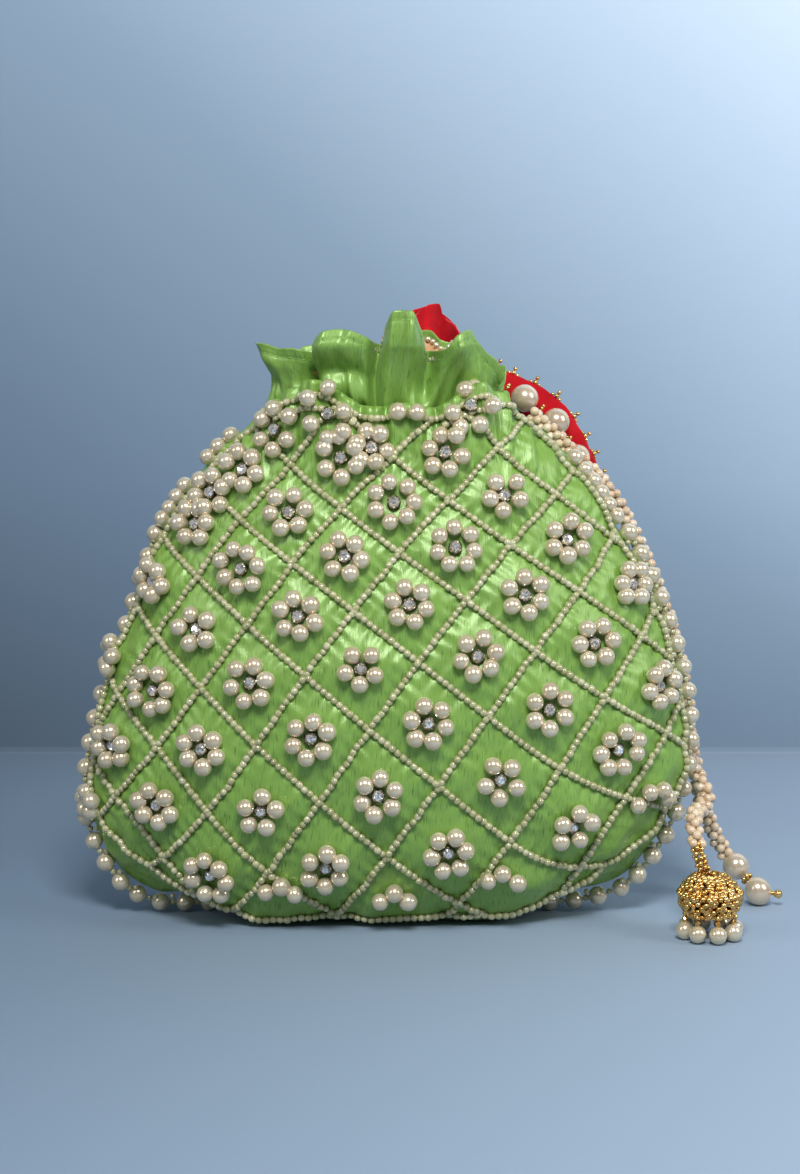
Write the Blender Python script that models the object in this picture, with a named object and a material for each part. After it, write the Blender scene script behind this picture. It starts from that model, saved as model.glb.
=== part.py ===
# Potli bag: beaded silk drawstring pouch with a velvet handle and two beaded tassels.
# Front faces -Y, right is +X, up is +Z. The bag stands on the floor at z = 0.
import math

import bmesh
import bpy
import numpy as np
from mathutils import Vector
from mathutils.geometry import delaunay_2d_cdt

for old in list(bpy.data.objects):
    bpy.data.objects.remove(old, do_unlink=True)

mm = 0.001

# Driving sizes, in millimetres
bag_width = 221.7
neck_height = 187.0
belly_depth = 92.0
cloth = 1.6
gap = 0.3
pitch = 30.5
pearl = 6.0
edge_pearl = 7.0
edge_pearl_pitch = 9.0
bead_line = 2.6
rope = 6.8
handle_width = 13.0
handle_thick = 2.6
handle_pearl = 10.5
jhumka_width = 22.0
fringe_pearl = 6.4
silk = 1.2
lining = 0.8

side = bag_width / 2
high = neck_height / 187.0
deep = belly_depth / 92.0
wide = side / 110.85

# Rows from the bottom seam to the neck: seam height, underside height, left, right, depth
rows = np.array([
    (7.5, 7.5, 84.0, 66.0, 0.0),
    (8.4, 6.4, 87.0, 71.0, 4.2),
    (9.6, 2.0, 89.5, 76.5, 7.6),
    (11.4, 0.0, 93.0, 82.5, 9.8),
    (15.5, 0.0, 98.5, 89.6, 14.5),
    (23.8, 4.5, 104.4, 96.6, 25.0),
    (37.5, 17.5, 110.2, 104.5, 36.5),
    (50.0, 35.0, 110.9, 108.3, 43.0),
    (66.0, 56.0, 109.3, 110.8, 46.0),
    (83.0, 78.0, 106.0, 109.5, 45.5),
    (102.0, 100.0, 99.8, 104.4, 42.5),
    (122.0, 121.5, 92.7, 97.0, 37.5),
    (142.0, 142.0, 84.7, 86.3, 32.0),
    (160.0, 160.0, 73.0, 75.0, 27.0),
    (174.0, 174.0, 60.5, 63.0, 23.0),
    (187.0, 187.0, 44.0, 46.0, 20.0),
])
rows[:, 0:2] *= high
rows[:, 2:4] *= wide
rows[:, 4] *= deep
# Puffed lobes above the drawn neck: place across, half width, rise
lobes = ((-27.0 * wide, 13.0, 12.5), (6.0 * wide, 8.0, 3.0), (34.0 * wide, 10.0, 11.0))
corner_forward = 9.0


def new_material(name, colour, rough, metal=0.0):
    mat = bpy.data.materials.new(name)
    mat.use_nodes = True
    shader = mat.node_tree.nodes["Principled BSDF"]
    shader.inputs["Base Color"].default_value = (*colour, 1.0)
    shader.inputs["Roughness"].default_value = rough
    shader.inputs["Metallic"].default_value = metal
    mat.diffuse_color = (*colour, 1.0)
    return mat


green_silk = new_material("green_silk", (0.33, 0.60, 0.18), 0.45)
tan_satin = new_material("tan_satin", (0.62, 0.40, 0.20), 0.4)
cream_pearl = new_material("cream_pearl", (0.80, 0.74, 0.60), 0.25)
peach_bead = new_material("peach_bead", (0.82, 0.66, 0.50), 0.3)
red_velvet = new_material("red_velvet", (0.42, 0.01, 0.015), 0.9)
gold_bead = new_material("gold_bead", (0.78, 0.52, 0.16), 0.3, 1.0)


def add_mesh(name, verts, faces, mat):
    """Makes one closed mesh from points in millimetres."""
    mesh = bpy.data.meshes.new(name)
    mesh.from_pydata([tuple(np.asarray(v, float) * mm) for v in verts], [], faces)
    work = bmesh.new()
    work.from_mesh(mesh)
    bmesh.ops.triangulate(work, faces=work.faces[:])
    bmesh.ops.recalc_face_normals(work, faces=work.faces[:])
    work.to_mesh(mesh)
    work.free()
    mesh.materials.append(mat)
    obj = bpy.data.objects.new(name, mesh)
    bpy.context.scene.collection.objects.link(obj)
    return obj


def smooth_rows(x, y, q):
    """Monotone cubic through the points (x, y), read at q."""
    h = np.diff(x)
    d = np.diff(y) / h
    m = np.zeros(len(x))
    for k in range(1, len(x) - 1):
        if d[k - 1] * d[k] > 0:
            w1, w2 = 2 * h[k] + h[k - 1], h[k] + 2 * h[k - 1]
            m[k] = (w1 + w2) / (w1 / d[k - 1] + w2 / d[k])
    m[0], m[-1] = d[0], d[-1]
    k = np.clip(np.searchsorted(x, q, side="right") - 1, 0, len(x) - 2)
    u = (q - x[k]) / h[k]
    low = (1 + 2 * u) * (1 - u) ** 2 * y[k] + u * (1 - u) ** 2 * h[k] * m[k]
    return low + u * u * (3 - 2 * u) * y[k + 1] + u * u * (u - 1) * h[k] * m[k + 1]


def spline(points, step):
    """Catmull-Rom curve through the points, in even steps of about the given length."""
    p = [np.asarray(q, float) for q in points]
    p = [2 * p[0] - p[1]] + p + [2 * p[-1] - p[-2]]
    fine = []
    for k in range(1, len(p) - 2):
        for u in np.linspace(0, 1, 24, endpoint=False):
            a, b, c, d = p[k - 1 : k + 3]
            fine.append(0.5 * (2 * b + (c - a) * u + (2 * a - 5 * b + 4 * c - d) * u * u
                               + (3 * b - a - 3 * c + d) * u ** 3))
    fine.append(p[-2])
    fine = np.array(fine)
    run = np.concatenate([[0], np.cumsum(np.linalg.norm(np.diff(fine, axis=0), axis=1))])
    count = max(2, int(round(run[-1] / step)) + 1)
    at = np.linspace(0, run[-1], count)
    return np.stack([np.interp(at, run, fine[:, c]) for c in range(fine.shape[1])], 1)


# The stuffed body as a surface over a flat pattern: s across, t up the middle
row_at = np.arange(len(rows), dtype=float)
across = np.linspace(-1, 1, 241)
centre = len(across) // 2
levels = np.linspace(0, len(rows) - 1, 421)


def body_row(v):
    seam, under, left, right, depth = (smooth_rows(row_at, rows[:, c], v) for c in range(5))
    blend = np.clip((np.abs(across) - 0.42) / 0.58, 0, 1)
    blend = blend * blend * (3 - 2 * blend)
    x = (right - left) / 2 + (right + left) / 2 * across
    y = -depth * np.maximum(1 - np.abs(across) ** 2.2, 0) ** 0.55
    return np.stack([x, y, under + (seam - under) * blend], 1)


body = np.array([body_row(v) for v in levels])
climb = np.linalg.norm(np.diff(body[:, centre], axis=0), axis=1)
t_of_level = np.concatenate([[0], np.cumsum(climb)])
span = np.linalg.norm(np.diff(body, axis=1), axis=2)
s_of_level = np.concatenate([np.zeros((len(levels), 1)), np.cumsum(span, axis=1)], 1)
s_of_level -= s_of_level[:, centre : centre + 1]
t_top = t_of_level[-1]
t_of_row = np.interp(row_at, levels, t_of_level)


def half_span(t, right):
    ends = s_of_level[:, -1] if right else -s_of_level[:, 0]
    return float(np.interp(t, t_of_level, ends))


def surface(s, t):
    """The bare cloth at one place of the pattern."""
    k = min(int(np.searchsorted(t_of_level, t, side="right")) - 1, len(levels) - 2)
    f = (t - t_of_level[k]) / (t_of_level[k + 1] - t_of_level[k])
    run = s_of_level[k] * (1 - f) + s_of_level[k + 1] * f
    row = body[k] * (1 - f) + body[k + 1] * f
    return np.array([np.interp(s, run, row[:, c]) for c in range(3)])


def puff(p, back=False):
    """Raises the lobes at the neck, less at the back."""
    x, y, z = p
    ramp = min(max((z - 160 * high) / (27 * high), 0), 1) ** 1.6
    rise = sum(h * math.exp(-(((x - c) / w) ** 2)) for c, w, h in lobes)
    rise *= ramp * (0.45 if back else 1.0)
    return np.array([x, y - 0.45 * rise, z + rise])


def settle(p):
    """Brings the lower corners of the bag a little forward."""
    low = max(0.0, 1 - p[2] / (100 * high))
    return np.array([p[0], p[1] - corner_forward * (p[0] / 100) ** 2 * low * low, p[2]])


def place(p, back):
    """Front or back side of the bag, half a gap off the seam plane."""
    y = p[1] - gap / 2
    return settle(np.array([p[0], -y if back else y, p[2]]))


def cloth_point(s, t, lift, back=False):
    """A pattern place raised off the cloth by lift."""
    e = 0.6
    mid = puff(surface(s, t), back)
    ds = puff(surface(s + e, t), back) - puff(surface(s - e, t), back)
    dt = puff(surface(s, min(t + e, t_top)), back) - puff(surface(s, max(t - e, 0)), back)
    n = np.cross(ds, dt)
    size = np.linalg.norm(n)
    return mid + n / size * lift if size > 1e-9 else mid


# Bead lattice: cell centres by whole numbers, bead lines at the halves
def lattice(i, j):
    s = -0.384 + 0.772 * i + 0.562 * j + 0.0334 * i * i - 0.0105 * i * j + 0.0059 * j * j
    t = 4.226 - 0.606 * i + 0.772 * j - 0.0207 * i * i + 0.0210 * i * j - 0.0331 * j * j
    return np.array([s * pitch, t * pitch])


seam_margin = 9.0
line_bottom = t_of_row[4] + 13.0
line_top = t_top - 3.0
round_corner = 26.0


def line_half_span(t, right):
    """Half width of the outline bead line, rounded at the lower corners."""
    reach = half_span(t, right) - seam_margin
    u = min(max((t - line_bottom) / round_corner, 0), 1)
    return reach - round_corner * 1.3 * (1 - math.sqrt(max(0.0, 1 - (1 - u) ** 2)))


def outline_line():
    ts = line_bottom + (line_top - line_bottom) * np.linspace(0, 1, 25) ** 1.25
    right = [(line_half_span(t, True), t) for t in ts]
    left = [(-line_half_span(t, False), t) for t in ts[::-1]]
    top = [(s, line_top) for s in np.linspace(right[-1][0], left[0][0], 9)[1:-1]]
    low = [(s, line_bottom) for s in np.linspace(left[-1][0], right[0][0], 13)[1:-1]]
    return np.array(right + top + left + low)


def inside(loop, p):
    a, b = loop, np.roll(loop, -1, axis=0)
    cross = (a[:, 1] > p[1]) != (b[:, 1] > p[1])
    with np.errstate(divide="ignore", invalid="ignore"):
        x = a[:, 0] + (p[1] - a[:, 1]) / (b[:, 1] - a[:, 1]) * (b[:, 0] - a[:, 0])
    return bool(np.count_nonzero(cross & (p[0] < x)) % 2)


def distance(segments, p):
    a, b = segments[:, 0], segments[:, 1]
    d = b - a
    u = np.clip(((p - a) * d).sum(1) / np.maximum((d * d).sum(1), 1e-12), 0, 1)
    return float(np.linalg.norm(a + d * u[:, None] - p, axis=1).min())


def lattice_lines(loop, per_cell):
    """The bead lines of both directions, cut at the outline line."""
    found = []
    for direction in (0, 1):
        for fixed in np.arange(-9.5, 10.0, 1.0):
            at = [(fixed, q) if direction == 0 else (q, fixed) for q in
                  np.arange(-9.5, 9.51, 1.0 / per_cell)]
            points = [lattice(*q) for q in at]
            run = []
            for k, p in enumerate(points):
                now = inside(loop, p)
                if k and now != inside(loop, points[k - 1]):
                    good, bad = (p, points[k - 1]) if now else (points[k - 1], p)
                    for _ in range(24):
                        half = (good + bad) / 2
                        good, bad = (half, bad) if inside(loop, half) else (good, half)
                    if now:
                        run = [good]
                    else:
                        run.append(good)
                        found.append(np.array(run))
                        run = []
                if now:
                    run.append(p)
    return [drop_close(line) for line in found if len(line) > 2]


def drop_close(line):
    """Leaves out an inner point that lies near an end."""
    keep = [0] + [k for k in range(1, len(line) - 1)
                  if min(np.linalg.norm(line[k] - line[0]),
                         np.linalg.norm(line[k] - line[-1])) > 3.0] + [len(line) - 1]
    return line[keep]


def sideways(line, off, closed=False):
    """The line moved to one side in the pattern."""
    if closed:
        tangent = np.roll(line, -1, axis=0) - np.roll(line, 1, axis=0)
    else:
        tangent = np.gradient(line, axis=0)
    tangent /= np.linalg.norm(tangent, axis=1)[:, None]
    return line + off * np.stack([-tangent[:, 1], tangent[:, 0]], 1)


flower_ring = pearl * 1.02
flower_edge = flower_ring + pearl * 0.52


def flower_points(c, turn, size):
    """Centre, six pearl tops, the dips between and the foot, with their heights."""
    points, heights = [c], [pearl * 0.3]
    for radius, shift, height in ((flower_ring, 0.0, pearl * 0.8), (flower_ring * 0.87, 0.5, pearl * 0.22),
                                  (flower_edge, 0.0, 0.0), (flower_edge * 0.83, 0.5, 0.0)):
        for k in range(6):
            a = turn + math.pi / 3 * (k + shift)
            points.append(c + size * radius * np.array([math.cos(a), math.sin(a)]))
            heights.append(height)
    edges = []
    for k in range(6):
        top, dip, foot, notch, nxt = 1 + k, 7 + k, 13 + k, 19 + k, 1 + (k + 1) % 6
        edges += [(0, top), (0, dip), (top, dip), (dip, nxt), (top, foot), (dip, notch),
                  (top, notch), (nxt, notch), (foot, notch), (notch, 13 + (k + 1) % 6)]
    return points, heights, edges


def panel(name, back, per_cell):
    """One embroidered side: relief outside, plain offset inside, a narrow rim between."""
    top_count = 19
    ts = [float(t) for t in t_of_row[1:-1]]
    rim = [(half_span(t, True), t) for t in ts]
    rim += [(s, t_top) for s in np.linspace(half_span(t_top, True), -half_span(t_top, False), top_count)]
    rim += [(-half_span(t, False), t) for t in ts[::-1]]
    rim += [(s, 0.0) for s in np.linspace(-half_span(0, False), half_span(0, True), 12)]
    rim = np.array(rim)
    count = len(rim)

    loop = outline_line()
    points, heights, edges = list(rim), [None] * count, [(k, (k + 1) % count) for k in range(count)]

    def add_line(line, closed=False):
        start = len(points)
        points.extend(line)
        heights.extend([None] * len(line))
        edges.extend((start + k, start + k + 1) for k in range(len(line) - 1))
        if closed:
            edges.append((start + len(line) - 1, start))

    half = bead_line / 2
    ridges = []
    for off in (0.0, half, -half):
        add_line(sideways(loop, off, True), True)
    ridges.append(np.stack([loop, np.roll(loop, -1, axis=0)], 1))
    for line in lattice_lines(loop, per_cell):
        ridges.append(np.stack([line[:-1], line[1:]], 1))
        for off in (0.0, half, -half):
            add_line(sideways(line, off))
    ridges = np.concatenate(ridges)

    for i in range(-8, 9):
        for j in range(-8, 9):
            c = lattice(i, j)
            size = min(1.0, (distance(ridges, c) - half - 0.4) / flower_edge)
            if not inside(loop, c) or size < 0.68:
                continue
            start = len(points)
            more, up, links = flower_points(c, 0.35 + 0.4 * ((i * 2 + j) % 3), size)
            points.extend(more)
            heights.extend(up)
            edges.extend((start + a, start + b) for a, b in links)

    # Rows of plain points along the seams and on the base
    for t in ts[3:]:
        for right in (True, False):
            sign = 1 if right else -1
            for off in (1.2, 4.2):
                points.append(np.array([sign * (half_span(t, right) - off), t]))
                heights.append(0.0)
    for t in t_of_row[1:5]:
        low, up = -half_span(t, False) + 2.0, half_span(t, True) - 2.0
        add_line(np.array([(s, t) for s in np.linspace(low, up, 15)]))

    flat = [Vector((float(p[0]), float(p[1]))) for p in points]
    verts, _, faces, origin, _, _ = delaunay_2d_cdt(flat, edges, [], 1, 1e-4)
    lifted, rim_of = [], {}
    for n, v in enumerate(verts):
        p = np.array(v)
        known = [heights[o] for o in origin[n] if heights[o] is not None]
        at_rim = [o for o in origin[n] if o < count]
        if at_rim:
            rim_of[at_rim[0]] = n
            lifted.append(place(puff(surface(*rim[at_rim[0]]), back), back))
            continue
        if known:
            lift = max(known)
        else:
            lift = max(0.0, 1 - distance(ridges, p) / half) * bead_line * 0.5
        lifted.append(place(cloth_point(p[0], p[1], lift, back), back))

    # Inner side: the same outline moved in by the cloth thickness
    inner_flat = [Vector((float(p[0]), float(p[1]))) for p in rim]
    for t in list(t_of_row[1:-1]):
        left, right = half_span(t, False) - 3.0, half_span(t, True) - 3.0
        inner_flat += [Vector((float(s), float(t))) for s in np.linspace(-left, right, 13)]
    inner_edges = [(k, (k + 1) % count) for k in range(count)]
    in_verts, _, in_faces, in_origin, _, _ = delaunay_2d_cdt(inner_flat, inner_edges, [], 1, 1e-4)
    base = len(lifted)
    seam = np.array([puff(surface(*q), back) for q in rim])
    inner_rim_of = {}
    for n, v in enumerate(in_verts):
        at_rim = [o for o in in_origin[n] if o < count]
        if at_rim:
            k = at_rim[0]
            inner_rim_of[k] = base + n
            before, after = seam[k - 1], seam[(k + 1) % count]
            along = after - before
            is_top = rim[k][1] > t_top - 1e-6
            if is_top and 0 < k - len(ts) < top_count - 1:
                p = cloth_point(rim[k][0], t_top, -cloth, back)
            else:
                out = np.array([along[2], 0.0, -along[0]])
                if is_top:
                    out = np.array([1.0 if rim[k][0] > 0 else -1.0, 0.0, 0.0])
                p = seam[k] - out / np.linalg.norm(out) * cloth
                p[1] = seam[k][1]
            lifted.append(place(p, back))
        else:
            lifted.append(place(cloth_point(v[0], v[1], -cloth, back), back))
    all_faces = [tuple(f) for f in faces]
    all_faces += [tuple(base + q for q in reversed(f)) for f in in_faces]
    for k in range(count):
        a, b = rim_of[k], rim_of[(k + 1) % count]
        c, d = inner_rim_of[(k + 1) % count], inner_rim_of[k]
        all_faces += [(b, a, d), (b, d, c)]
    return add_mesh(name, lifted, all_faces, green_silk)


panel("front_panel", False, 3)
panel("back_panel", True, 1)


def tube(name, path, radii, sides, mat, up=(0.0, 1.0, 0.0), turned=0.5):
    """A closed body along the path with its own radius at each point."""
    path = np.asarray(path, float)
    tangent = np.gradient(path, axis=0)
    tangent /= np.linalg.norm(tangent, axis=1)[:, None]
    verts, ring = [], []
    for k, p in enumerate(path):
        x = np.cross(tangent[k], np.asarray(up, float))
        x /= np.linalg.norm(x)
        y = np.cross(x, tangent[k])
        first = len(verts)
        for q in range(sides):
            a = 2 * math.pi * (q + turned) / sides
            verts.append(p + radii[k] * (math.cos(a) * x + math.sin(a) * y))
        ring.append(first)
    faces = []
    for a, b in zip(ring[:-1], ring[1:]):
        faces += [(a + q, a + (q + 1) % sides, b + (q + 1) % sides, b + q) for q in range(sides)]
    faces += [tuple(range(ring[0], ring[0] + sides)),
              tuple(range(ring[-1], ring[-1] + sides))]
    return add_mesh(name, verts, faces, mat)


def pearl_string(name, centres, radius, neck, sides, mat, up=(0.0, 1.0, 0.0)):
    """Pearls on one line, joined by a thin neck."""
    path, radii = [], []
    for k, c in enumerate(centres):
        before = centres[k - 1] if k else 2 * centres[0] - centres[1]
        after = centres[k + 1] if k + 1 < len(centres) else 2 * centres[-1] - centres[-2]
        if k == 0:
            path.append((before + c) / 2)
            radii.append(neck)
        tangent = (after - before) / np.linalg.norm(after - before)
        for off in (-0.5, 0.5):
            path.append(c + tangent * radius * off)
            radii.append(radius * 0.95)
        path.append((c + after) / 2)
        radii.append(neck)
    return tube(name, path, radii, sides, mat, up)


# Pearl string along the seam, from one shoulder round the base to the other
string_top = 143.0 * high
string_off = edge_pearl / 2 + gap + 0.15


def seam_curve(right):
    sign = 1 if right else -1
    at_top = float(np.interp(string_top, rows[:, 0], row_at))
    level = np.linspace(at_top, 0, 100)
    reach = smooth_rows(row_at, rows[:, 3 if right else 2], level)
    heights = smooth_rows(row_at, rows[:, 0], level)
    return [np.array([sign * x, 0.0, z]) for x, z in zip(reach, heights)]


seam = seam_curve(False)
seam += [np.array([x, 0.0, rows[0, 0]]) for x in np.linspace(-rows[0, 2], rows[0, 3], 60)[1:-1]]
seam += seam_curve(True)[::-1]
seam = spline(seam[::3] + seam[-1:], 5.0)
along = np.gradient(seam, axis=0)
outward = np.stack([along[:, 2], np.zeros(len(along)), -along[:, 0]], 1)
outward /= np.linalg.norm(outward, axis=1)[:, None]
string_line = seam + outward * string_off
string_line[:, 2] = np.maximum(string_line[:, 2], edge_pearl / 2 + 0.05)
run = np.concatenate([[0], np.cumsum(np.linalg.norm(np.diff(string_line, axis=0), axis=1))])
pearls = int(run[-1] // edge_pearl_pitch)
at = (np.arange(pearls) + 0.5) * run[-1] / pearls
string_centres = np.stack([np.interp(at, run, string_line[:, c]) for c in range(3)], 1)
string_centres = [settle(c) for c in string_centres]
pearl_string("edge_pearl_string", string_centres, edge_pearl / 2, 1.1, 8, cream_pearl)

# Frill folds round the mouth: place round from the left, push outwards, top height
folds = np.array([
    (0.000, 3.5, 210.0), (0.030, 4.5, 212.5), (0.070, 4.0, 211.5), (0.110, 4.0, 210.5),
    (0.135, 1.5, 210.0), (0.147, -3.5, 209.5), (0.158, 2.5, 214.5), (0.175, 5.0, 217.5),
    (0.200, 5.0, 218.0), (0.222, 3.0, 215.5), (0.240, -4.5, 212.0), (0.252, 2.0, 219.0),
    (0.262, 7.5, 225.0), (0.277, 7.5, 225.5), (0.291, 1.0, 217.0), (0.303, -6.0, 209.0),
    (0.318, 1.0, 210.5), (0.336, 5.0, 216.5), (0.358, 5.5, 217.5), (0.378, 4.5, 213.0),
    (0.398, 2.5, 209.0), (0.420, 3.0, 205.5), (0.445, 3.0, 200.5), (0.475, 0.5, 197.0),
    (0.510, 2.5, 199.0), (0.545, 2.5, 203.0), (0.575, -2.5, 203.0), (0.610, 3.5, 208.0),
    (0.650, 3.5, 209.0), (0.680, -3.0, 207.0), (0.715, 3.5, 212.0), (0.755, 3.5, 212.0),
    (0.785, -3.0, 208.0), (0.820, 3.5, 211.0), (0.860, 3.5, 210.0), (0.890, -3.0, 207.0),
    (0.930, 2.5, 208.0), (0.965, 1.0, 208.5),
])
folds[:, 2] *= high
mouth_half = (37.5 * wide, 9.0 * deep)
mouth_flare = (47.0 * wide, 19.0 * deep)
frill_foot = neck_height - 7.0


def round_mouth(p):
    """Push and top height of the frill at the place p round the mouth."""
    x = np.concatenate([folds[:, 0] - 1, folds[:, 0], folds[:, 0] + 1])
    push = smooth_rows(x, np.tile(folds[:, 1], 3), p)
    top = smooth_rows(x, np.tile(folds[:, 2], 3), p)
    return push, top


def band(name, columns, outer_off, thick, drop, foot, levels_up, ridge, mat):
    """A closed strip of cloth round the mouth, offset inwards from the frill's face."""
    around = np.arange(columns) / columns
    rings = {"out": [], "in": []}
    for level in range(levels_up + 1):
        f = level / levels_up
        line = []
        for p in around:
            push, top = round_mouth(p)
            push = push * (ridge if push > 0 else 1.0)
            z = foot + (top - drop - foot) * f
            g = min(max((z - foot) / (32 * high), 0), 1)
            angle = 2 * math.pi * p
            half = [mouth_half[c] + (mouth_flare[c] - mouth_half[c]) * g for c in (0, 1)]
            x, y = -half[0] * math.cos(angle), -half[1] * math.sin(angle)
            n = np.array([-math.cos(angle) / half[0], -math.sin(angle) / half[1]])
            n /= np.linalg.norm(n)
            line.append(np.array([x + n[0] * push * g, y + n[1] * push * g, z]))
        line = np.array(line)
        side_way = np.roll(line, -1, axis=0) - np.roll(line, 1, axis=0)
        normal = np.stack([side_way[:, 1], -side_way[:, 0], np.zeros(columns)], 1)
        normal /= np.linalg.norm(normal, axis=1)[:, None]
        rings["out"].append(line - normal * outer_off)
        rings["in"].append(line - normal * (outer_off + thick))
    verts = [p for ring in rings["out"] for p in ring] + [p for ring in rings["in"] for p in ring]
    total = columns * (levels_up + 1)
    faces = []
    for q in range(columns):
        r = (q + 1) % columns
        for level in range(levels_up):
            a, b = level * columns, (level + 1) * columns
            faces.append((a + q, a + r, b + r, b + q))
            faces.append((total + a + r, total + a + q, total + b + q, total + b + r))
        faces.append((total + q, total + r, r, q))
        last = levels_up * columns
        faces.append((last + q, last + r, total + last + r, total + last + q))
    return add_mesh(name, verts, faces, mat)


band("mouth_frill", 84, 0.0, silk, 0.0, frill_foot, 4, 1.0, green_silk)
band("mouth_lining", 84, silk + gap + 0.1, lining, 3.5, frill_foot + 1.0, 2, 0.7, tan_satin)

# Velvet handle: up behind the mouth, over the right shoulder and in a loop behind the bag
handle_route = np.array([
    (2, 17.9, 196), (6, 24.5, 207), (14, 32, 217.5), (24, 33.5, 208.5), (33, 32, 200), (42.7, 29, 193.6),
    (52, 27, 189.8), (62.3, 26.5, 182.8), (69.5, 28, 171.7), (75.5, 36, 158), (77.5, 46, 142),
    (73, 54, 123), (62, 60, 105), (42, 64, 91), (15, 66, 85), (-15, 65, 90), (-38, 61, 105),
    (-50, 53, 127), (-52, 44, 152), (-46, 36, 174), (-37, 29, 191), (-28, 18.4, 205),
], float) * np.array([wide, deep, high])
handle_line = spline(handle_route, 4.15)


def handle_band():
    """A flat padded band with small gold beads standing off both edges."""
    path = handle_line
    tangent = np.gradient(path, axis=0)
    tangent /= np.linalg.norm(tangent, axis=1)[:, None]
    face = np.array([0.0, -1.0, 0.0])
    verts, first = [], []
    for k, p in enumerate(path):
        x = np.cross(tangent[k], face)
        x /= np.linalg.norm(x)
        y = np.cross(x, tangent[k])
        half, thick = handle_width / 2, handle_thick / 2
        tip = half + (1.9 if k % 2 == 1 else 0.0)
        first.append(len(verts))
        for a, b in ((tip, 0), (half * 0.8, thick), (-half * 0.8, thick), (-tip, 0),
                     (-half * 0.8, -thick), (half * 0.8, -thick)):
            verts.append(p + a * x + b * y)
    faces = []
    for a, b in zip(first[:-1], first[1:]):
        faces += [(a + q, a + (q + 1) % 6, b + (q + 1) % 6, b + q) for q in range(6)]
    faces += [tuple(range(first[0], first[0] + 6)), tuple(range(first[-1], first[-1] + 6))]
    return add_mesh("handle_band", verts, faces, red_velvet)


handle_band()
run = np.concatenate([[0], np.cumsum(np.linalg.norm(np.diff(handle_line, axis=0), axis=1))])
big_count = int((run[-1] - 72) // (handle_pearl + 2.6))
at = np.linspace(50, run[-1] - 22, big_count)
big_centres = np.stack([np.interp(at, run, handle_line[:, c]) for c in range(3)], 1)
slope = np.stack([np.interp(at, run, np.gradient(handle_line[:, c])) for c in range(3)], 1)
slope /= np.linalg.norm(slope, axis=1)[:, None]
off_face = np.array([0.0, -1.0, 0.0]) - slope * -slope[:, 1:2]
off_face /= np.linalg.norm(off_face, axis=1)[:, None]
big_centres = big_centres + off_face * (handle_thick / 2 + gap + handle_pearl / 2)
pearl_string("handle_pearl_string", list(big_centres), handle_pearl / 2, 1.8, 8, cream_pearl)


def cord(name, route, diameter):
    """A plain round tube through the route points."""
    line = spline(route, diameter * 2.0)
    data = bpy.data.curves.new(name, "CURVE")
    data.dimensions = "3D"
    data.bevel_depth = diameter / 2 * mm
    data.bevel_resolution = 2
    data.use_fill_caps = True
    path = data.splines.new("POLY")
    path.points.add(len(line) - 1)
    for point, p in zip(path.points, line):
        point.co = (*(p * mm), 1.0)
    data.materials.append(peach_bead)
    obj = bpy.data.objects.new(name, data)
    bpy.context.scene.collection.objects.link(obj)
    return line


# Two beaded ropes from the drawn neck, down behind the seam pearls and out to the tassels
shift = np.array([(wide - 1) * 110, 0, 0])


def tied(route):
    """Ties a rope's route to the bag's sizes; its lower end stays at the tassel on the floor."""
    p = np.array(route, float)
    free = np.clip((p[:, 2:] - 30.0) / 60.0, 0, 1)
    return p * (1 + free * (np.array([1.0, deep, high]) - 1)) + shift


rope_a = tied([
    (53, 10, 186), (62.5, 9.5, 177), (71, 8, 168.5), (79.5, 5, 160.5), (86.5, 6, 151),
    (93, 9, 139), (99.5, 10.5, 125), (105, 11, 110), (109.5, 10.5, 94), (112.6, 10, 78),
    (113.4, 9, 64), (114.3, 7.2, 54), (117.2, 4.5, 47), (119.2, -3, 42), (116.2, -11, 40),
    (113, -19, 39.5), (112, -28, 36.5), (112.3, -34, 31.5),
])
rope_b = tied([
    (50, 18.5, 178), (60, 18, 168.5), (70, 18.5, 157), (80, 17.5, 145), (89, 17.5, 131),
    (97, 18.5, 118), (104.3, 20, 104), (109, 20, 90), (112, 19, 78), (113.8, 18, 65),
    (116.6, 16.2, 51.5), (118, 15.8, 42), (120.6, 15.5, 32.8), (123, 15.3, 27), (125.3, 15.2, 22),
    (128.3, 15, 17),
])
line_a = cord("drawstring_a", rope_a, rope)
cord("drawstring_b", rope_b, rope)


def ball(name, centre, radii, mat, across_count=10, up_count=6, bumps=0.0):
    """A round bead; bumps alternate in and out for a woven face."""
    verts = [np.array([centre[0], centre[1], centre[2] - radii[2]])]
    for k in range(1, up_count):
        lat = -math.pi / 2 + math.pi * k / up_count
        for q in range(across_count):
            lon = 2 * math.pi * (q + 0.5 * (k % 2)) / across_count
            r = 1 + bumps * (1 if (q + k) % 2 else -1)
            verts.append(np.array([centre[0] + radii[0] * r * math.cos(lat) * math.cos(lon),
                                   centre[1] + radii[1] * r * math.cos(lat) * math.sin(lon),
                                   centre[2] + radii[2] * math.sin(lat)]))
    verts.append(np.array([centre[0], centre[1], centre[2] + radii[2]]))
    faces = []
    for q in range(across_count):
        r = (q + 1) % across_count
        faces.append((0, 1 + r, 1 + q))
        for k in range(up_count - 2):
            a, b = 1 + k * across_count, 1 + (k + 1) * across_count
            faces.append((a + q, a + r, b + r, b + q))
        last = 1 + (up_count - 2) * across_count
        faces.append((last + q, last + r, len(verts) - 1))
    return add_mesh(name, verts, faces, mat)


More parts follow.
